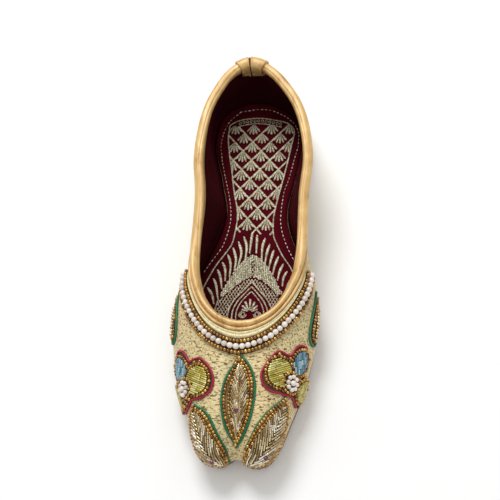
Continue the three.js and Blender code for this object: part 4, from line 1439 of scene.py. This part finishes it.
# %% Flowers
GLOSS = {"speckle": 0.2, "Metallic": 0.2, "Roughness": 0.2, "Coat_Weight": 0.6, "Coat_Roughness": 0.06}
LIME_GLASS = bead_finish("lime_glass", [(0.0, (0.32, 0.25, 0.02)), (0.5, (0.56, 0.46, 0.06)),
                                        (1.0, (0.80, 0.74, 0.32))], **GLOSS)
BLUE_GLASS = bead_finish("blue_glass", [(0.0, (0.06, 0.15, 0.21)), (0.5, (0.17, 0.34, 0.42)),
                                        (1.0, (0.46, 0.68, 0.74))], **GLOSS)

PETALS = {
    # middle (around, up) on the right and the left, half width across and along the shoe in mm, lean,
    # sharpness of the ends, lean of the fill
    "yellow": (((4.62, 0.717), (-4.41, 0.69)), 7.6, 8.6, 8, 0.88, 62, LIME_GLASS, "lime_bugles"),
    "blue": (((5.97, 0.54), (-5.74, 0.525)), 5.4, 8.0, 10, 1.35, -12, BLUE_GLASS, "blue_bugles"),
    "lower": (((5.70, 0.305), (-5.46, 0.29)), 5.6, 7.6, 20, 1.1, 12, LIME_GLASS, "lime_bugles"),
}
ROSETTE, ROSETTE_REACH = ((5.25, 0.55), (-5.21, 0.495)), 4.7
PEARLS_ROUND = 8
CORD_RIGHT = [(6.45, 0.527), (6.35, 0.587), (6.18, 0.640), (5.95, 0.673), (5.75, 0.680), (5.60, 0.690),
              (5.40, 0.723), (5.12, 0.773), (4.83, 0.807), (4.40, 0.827), (3.88, 0.830), (3.32, 0.820),
              (2.98, 0.803), (2.93, 0.777), (3.12, 0.747), (3.55, 0.710), (4.03, 0.670), (4.45, 0.620),
              (4.68, 0.573), (5.00, 0.505), (5.16, 0.433), (5.21, 0.363), (5.22, 0.29)]
CORD_LEFT = [(-6.25, 0.540), (-6.10, 0.597), (-5.92, 0.637), (-5.67, 0.660), (-5.48, 0.670), (-5.32, 0.680),
             (-5.05, 0.733), (-4.77, 0.770), (-4.40, 0.800), (-3.80, 0.813), (-3.22, 0.807), (-2.85, 0.787),
             (-2.77, 0.757), (-2.97, 0.720), (-3.40, 0.683), (-3.97, 0.633), (-4.38, 0.580), (-4.55, 0.533),
             (-4.64, 0.480), (-4.74, 0.427), (-4.90, 0.313)]


class Ground:
    # flat drawing plane that touches the face at one place
    def __init__(self, places, side):
        around, up = places[0] if side > 0 else places[1]
        self.around, self.up = around, up
        self.middle = outer(around, up)
        self.upright = normal_at(around, up, PAD_SPAN)
        rear = np.array([0, 1.0, 0]) - self.upright * self.upright[1]
        self.rear = rear / np.linalg.norm(rear)
        self.aside = np.cross(self.rear, self.upright) * np.sign(around)

    def drop(self, x, y):
        points = self.middle + np.multiply.outer(x, self.aside) + np.multiply.outer(y, self.rear)
        return np.stack(on_face(points, self.around, self.up), -1)


FULL_TURN = np.linspace(0, 2 * math.pi, 60, endpoint=False)
SHORTEST_CHORD = 18


def oval(half_width, half_length, lean, sharpness=1.0, grow=0.0, turn=FULL_TURN):
    x = (half_width + grow) * np.sign(np.cos(turn)) * np.abs(np.cos(turn)) ** sharpness
    y = (half_length + grow) * np.sin(turn)
    lean = math.radians(lean)
    return x * math.cos(lean) + y * math.sin(lean), y * math.cos(lean) - x * math.sin(lean)


def oval_reach(x, y, half_width, half_length, lean, sharpness):
    # below 1 inside the oval, above 1 outside
    lean = math.radians(lean)
    across, along = x * math.cos(lean) - y * math.sin(lean), x * math.sin(lean) + y * math.cos(lean)
    return (np.abs(across) / half_width) ** (2 / sharpness) + (along / half_length) ** 2


def oval_fill(half_width, half_length, lean, sharpness, fill_lean, pitch=1.06, longest=5.0):
    # parallel chords inside the oval, each cut in bugles of about equal length
    direction = way_at(90 - fill_lean)
    across = np.array([direction[1], -direction[0]])
    chords = []
    for offset in np.arange(-12, 12.1, pitch):
        run = np.arange(-14, 14, 0.1)
        x, y = across[:, None] * offset + direction[:, None] * run
        within = np.flatnonzero(oval_reach(x, y, half_width, half_length, lean, sharpness) < 1)
        if len(within) < SHORTEST_CHORD:
            continue
        low, high = run[within[0]], run[within[-1]]
        parts = int(math.ceil((high - low) / longest))
        cuts = np.linspace(low, high, parts + 1)
        if parts > 1:
            cuts[1:-1] += chance.uniform(-1.2, 1.2, parts - 1)
        for first, last in zip(cuts[:-1] + 0.08, cuts[1:] - 0.08):
            chords.append([across * offset + direction * first, across * offset + direction * last])
    return np.array(chords)


def petal_edges(name, first, last, side, grow):
    # a line round the outside of one petal, between two angles from the side that points at the sole
    places, half_width, half_length, lean, sharpness = PETALS[name][:5]
    turn = np.radians(np.arange(first, last, 9.0))
    return Ground(places, side).drop(*oval(half_width, half_length, lean, sharpness, grow, turn))


def bare_places(side, felt_line, cord, step=1.15):
    # places on the felt that no petal, rosette or cord covers
    rosette, found = Ground(ROSETTE, side), []
    x, y = np.meshgrid(np.arange(-13, 13, step), np.arange(-13, 13, step))
    for petal in PETALS.values():
        places = Ground(petal[0], side).drop((x + y / 2 % step).ravel(), y.ravel())
        found.append(places[inside(places, felt_line.tolist())])
    found = np.vstack(found)
    spots = outer(*found.T)
    free = np.linalg.norm(spots - rosette.middle, axis=1) > ROSETTE_REACH + 1.9
    free &= np.linalg.norm(spots[:, None] - outer(*cord.T)[None], axis=2).min(axis=1) > 1.45
    for places, half_width, half_length, lean, sharpness in (petal[:5] for petal in PETALS.values()):
        ground = Ground(places, side)
        aside, rear = (spots - ground.middle) @ ground.aside, (spots - ground.middle) @ ground.rear
        free &= oval_reach(aside, rear, half_width + 1.3, half_length + 1.3, lean, sharpness) > 1
    return found[free]


def bead_ring(ground, shape, height):
    ring = ground.drop(*oval(*shape))
    return walk(np.vstack([ring, ring[:1]]), BEAD * 0.88, height, closed=True)


def add_flower(node, side):
    rosette = Ground(ROSETTE, side)
    cord = smooth_line(CORD_RIGHT if side > 0 else CORD_LEFT, 6)
    felt_line = np.vstack([petal_edges("blue", -50, 66, side, 1.7), cord[3:-3],
                           petal_edges("lower", 300, 400, side, 1.7)])
    felt_pad(node, felt_line, (rosette.around, rosette.up))
    rings = [bead_ring(rosette, (ROSETTE_REACH + 0.8, ROSETTE_REACH + 1.1, 0), 1.2)]
    for name, (places, half_width, half_length, lean, sharpness, fill_lean, glass, slot) in PETALS.items():
        ground = Ground(places, side)
        rings.append(bead_ring(ground, (half_width, half_length, lean, sharpness, 0.2), 1.1))
        chords = oval_fill(half_width - 0.9, half_length - 0.9, lean, sharpness, fill_lean)
        starts, stops = ground.drop(*chords[:, 0].T), ground.drop(*chords[:, 1].T)
        halfway = outer(*((starts + stops) / 2).T)
        free = np.linalg.norm(halfway - rosette.middle, axis=1) > ROSETTE_REACH + 0.8
        add_bugles(node + "_" + name, starts[free], stops[free], 1.35, glass, slot, node)
    bare = bare_places(side, felt_line, cord)
    upright = normal_at(*bare.T, PAD_SPAN)
    rings.append((face(*bare.T, 0.95, PAD_SPAN), np.cross(upright, [0.3, 1.0, 0]), upright))
    row = joined_rows(rings)
    keep = [place for place in apart(row[0], 1.42)
            if np.linalg.norm(row[0][place] - rosette.middle) > ROSETTE_REACH + 0.3]
    add_seeds(node, row, keep, (0.95, 0.95, 0.9))
    turn = np.arange(PEARLS_ROUND) * 2 * math.pi / PEARLS_ROUND
    pearls = rosette.drop(np.append(0, 2.7 * np.cos(turn)), np.append(0, 3.5 * np.sin(turn)))
    height = np.append(2.3, np.full(PEARLS_ROUND, 1.9))
    pearl_sizes = np.vstack([(1.55, 1.55, 1.5), np.tile((1.28, 1.28, 1.25), (PEARLS_ROUND, 1))])
    upright = normal_at(*pearls.T, PAD_SPAN)
    place_many(node + "_rosette", ROUND_BEAD,
               (face(*pearls.T, height, PAD_SPAN), upright, np.cross(upright, [0, 1.0, 0])), pearl_sizes,
               PEARLS, [node])
    cord = np.vstack([petal_edges("blue", 40, 76, side, 1.2), cord[::3]])
    add_cords(node + "_cord", [twisted_cord(smooth_line(cord, 4), height=0.62)], MAGENTA_SILK,
              [node])


add_flower("flower_right", 1)
add_flower("flower_left", -1)

# %% [markdown]
# The small leaf behind each flower is a curved spray of seed beads with a few lighter ones down its middle,
# and a green cord along its upper side.

# %% Side leaves
SIDE_FELT = [(6.82, 0.52), (6.90, 0.66), (7.28, 0.72), (7.7, 0.735), (8.1, 0.69), (7.8, 0.585), (7.4, 0.48),
             (7.0, 0.445)]
SIDE_MIDDLE = np.array([7.38, 0.585])
SIDE_VEIN = [(7.0, 0.53), (7.3, 0.58), (7.65, 0.645)]
SIDE_CORD = [(6.98, 0.41), (6.82, 0.45), (6.72, 0.56), (6.74, 0.67), (6.95, 0.735), (7.3, 0.775),
             (7.65, 0.785), (8.0, 0.755), (8.22, 0.70)]
PALE_GOLD = bead_finish("pale_gold_beads", [(0.0, (0.40, 0.26, 0.10)), (1.0, (0.85, 0.74, 0.50))],
                        Metallic=0.7, Roughness=0.2, Coat_Weight=0.5, Coat_Roughness=0.06)


def add_side_leaf(node, side):
    sided = np.array([side, 1.0])
    border = in_field(smooth_line(SIDE_FELT, 16, closed=True)[:-1] * sided)
    felt_pad(node, border, in_field(SIDE_MIDDLE * sided[None])[0])
    row = walk(beside(np.vstack([border, border[:1]]), -1.0 * side), SEED_PITCH, 1.0, closed=True)
    add_seeds(node, row, apart(row[0], 1.4), (0.95, 0.95, 0.9))
    vein = walk(in_field(smooth_line(SIDE_VEIN, 16) * sided), SEED_PITCH, 1.6)
    place_many(node + "_pale_beads", SEED, vein, (1.0, 1.0, 0.9), PALE_GOLD, [node])
    cord = twisted_cord(in_field(smooth_line(SIDE_CORD) * sided), radius=0.6)
    add_cords(node + "_cord", [cord], GREEN_SILK, [node])


add_side_leaf("leaf_side_right", 1)
add_side_leaf("leaf_side_left", -1)

# %% [markdown]
# A tab of leatherette covers the place where the binding's ends meet at the back. It is a folded strip, so
# each edge shows a thin turned hem, and a seam runs down its middle where the two ends are drawn together.

# %% Heel tab
TAB_WIDTH, TAB_INSIDE, TAB_OUTSIDE, TAB_SAG, TAB_SEAM = 19, 12, 9, 1.8, 0.12
TAB_THICKNESS = 0.6
TAB_OVER_BINDING, TAB_RISE = 2.35, 2.2
HEM, HEM_AT = 0.35, 0.93
SEAM_DEPTH, SEAM_WIDTH = 1.7, 0.045
TAB_PATH = [
    # depth below the collar line, height of the tab's underside over the face, in mm
    (TAB_OUTSIDE, 0.5), (7.2, 0.55), (5.6, 1.2), (4.4, 2.15), (3.0, 2.3), (1.5, 2.45), (0.0, 2.4),
]
across_heel = float(np.linalg.norm(outer(SEAM - 1.0, 1.0) - outer(float(SEAM), 1.0)))


def tab_rings():
    shares = np.concatenate([np.linspace(-1, -0.02, 22), TAB_SEAM + np.linspace(-0.1, 0.1, 11),
                             np.linspace(0.26, 1, 16)])
    places = SEAM + shares * TAB_WIDTH / 2 / across_heel
    beside_seam = np.abs(shares - TAB_SEAM)
    relief = (HEM * np.exp(-((np.abs(shares) - HEM_AT) / 0.05) ** 2)
              - SEAM_DEPTH * np.exp(-(beside_seam / SEAM_WIDTH) ** 2)
              + 0.25 * np.exp(-((beside_seam - 0.14) / 0.06) ** 2))
    past, across, middle = rim_direction(places), normal_at(places, 1.0), face(places, 1.0, -WALL / 2)
    faces_of_tab = []
    for lift in (relief + TAB_THICKNESS, 0 * relief):
        rows = []
        for depth, height in TAB_PATH:
            sag = TAB_SAG * shares ** 2 if depth == TAB_OUTSIDE else 0.0
            rows.append(face(places, up_below_collar(places, depth - sag), height + lift))
        for turn in np.linspace(0.15, 0.85, 6) * math.pi:
            reach, over = WALL / 2 + TAB_OVER_BINDING + lift, TAB_RISE + lift
            rows.append(middle + across * (reach * math.cos(turn))[:, None]
                        + past * (over * math.sin(turn))[:, None])
        for depth, height in reversed(TAB_PATH):
            if depth == TAB_OUTSIDE:
                depth = TAB_INSIDE - 1.6 * TAB_SAG * shares ** 2
            elif depth > 7:
                depth = depth * TAB_INSIDE / TAB_OUTSIDE
            drawn_in = SEAM + (places - SEAM) * (1 - 0.015 * depth)
            rows.append(face(drawn_in, up_below_collar(drawn_in, depth), -WALL - height * 0.9 - lift))
        faces_of_tab.append(rows)
    upper_face, under_face = faces_of_tab
    return np.stack(upper_face + under_face[::-1], 1)


add_strip("folded_heel_tab", tab_rings(), LEATHERETTE, ["heel_tab"], round_shoe=False)

# %% [markdown]
# The two ends of the tab meet over the heel seam and gape a little towards their lower ends inside. A dark
# thread lies in the gap, and stands also for the painted shadow in it. It follows the roll from outside to
# inside and grows wider on the way down, as the shadowed gap does.

# %% Seam of the heel tab
OVER_BINDING, RADIUS_ON_TOP = 2.05, 0.38
SEAM_OUTSIDE = [
    # depth below the collar line, height over the face and radius of the thread, in mm
    (8.4, 0.35, 0.3), (7.0, 0.45, 0.35), (5.4, 0.8, 0.35), (4.4, 1.5, 0.35), (3.0, 1.95, 0.35),
    (1.5, OVER_BINDING, 0.35),
]
SEAM_INSIDE = [
    # inside, the thread widens to stand for the painted shadow in the gaping seam
    (0.6, 2.0, 0.4), (1.8, 1.95, 0.45), (2.9, 1.75, 0.5), (3.9, 1.5, 0.55), (5.0, 1.1, 0.6),
    (6.6, 0.65, 0.65), (9.0, 0.5, 0.7), (11.8, 0.45, 0.75),
]


def seam_thread_and_shadow(sides=8):
    place = SEAM + TAB_SEAM * TAB_WIDTH / 2 / across_heel
    out, past, middle = normal_at(place, 1.0), rim_direction(place), face(place, 1.0, -WALL / 2)
    turns = np.linspace(0.1, 0.9, 7) * math.pi
    spots = [face(place, up_below_collar(place, depth), height) for depth, height, _ in SEAM_OUTSIDE]
    spots += [middle + (WALL / 2 + OVER_BINDING) * (out * math.cos(turn) + past * math.sin(turn))
              for turn in turns]
    spots += [face(place, up_below_collar(place, depth), -WALL - height)
              for depth, height, _ in SEAM_INSIDE]
    radius = [*(row[2] for row in SEAM_OUTSIDE), *[RADIUS_ON_TOP] * len(turns),
              *(row[2] for row in SEAM_INSIDE)]
    spots, radius = np.array(spots), np.array(radius)[:, None]
    along = np.gradient(spots, axis=0)
    side = outer(place + 0.1, 1.0) - outer(place - 0.1, 1.0)
    side /= np.linalg.norm(side)
    upright = np.cross(along, side)
    upright /= np.linalg.norm(upright, axis=1, keepdims=True)
    return np.stack([spots + radius * (side * math.cos(angle) + upright * math.sin(angle))
                     for angle in np.arange(sides) * 2 * math.pi / sides], 1)


add_cords("heel_tab_seam", [seam_thread_and_shadow()], SHADOW_FELT, ["heel_tab"])

# %% [markdown]
# A studio for shoes is plain: a pale floor, a large soft light above and behind the heel, and pale light
# from all round that keeps the shadows open.

# %% Floor and light
def studio_floor():
    finish = Finish("pale_floor", Roughness=0.85, Specular_IOR_Level=0.1)
    grain = finish.noise(60, detail=2)
    finish.link(finish.ramp(grain, (0.3, (0.93, 0.93, 0.935)), (0.7, (0.95, 0.95, 0.95))), "Base Color")
    return finish.material


FLOOR_HALF, FLOOR_DOWN = 6, -0.0002
floor_mesh = bpy.data.meshes.new("floor")
floor_mesh.from_pydata([(x * FLOOR_HALF, y * FLOOR_HALF, FLOOR_DOWN)
                        for x, y in ((-1, -1), (1, -1), (1, 1), (-1, 1))], [], [(0, 1, 2, 3)])
floor_mesh.materials.append(studio_floor())
floor = bpy.data.objects.new("floor", floor_mesh)
bpy.context.scene.collection.objects.link(floor)


def soft_light(name, place, aim, size, power):
    light = bpy.data.lights.new(name, "AREA")
    light.shape = "DISK"
    light.size, light.energy = size, power
    lamp = bpy.data.objects.new(name, light)
    bpy.context.scene.collection.objects.link(lamp)
    away = np.array(place, float) - np.array(aim, float)
    side = np.cross([0.01, 0.02, 1.0], away)
    side /= np.linalg.norm(side)
    away /= np.linalg.norm(away)
    top = np.cross(away, side)
    lamp.matrix_world = Matrix([[side[row], top[row], away[row], place[row]] for row in range(3)]
                               + [[0, 0, 0, 1]])


soft_light("key", (-0.25, 0.75, 1.15), (0, 0, 0.03), 0.7, 12.5)
soft_light("front", (0.5, -0.9, 0.9), (0, -0.05, 0.03), 0.8, 1.3)
world = bpy.data.worlds.new("pale_room")
world.use_nodes = True
world.node_tree.nodes["Background"].inputs["Color"].default_value = (1.0, 1.0, 0.99, 1)
world.node_tree.nodes["Background"].inputs["Strength"].default_value = 0.6
bpy.context.scene.world = world
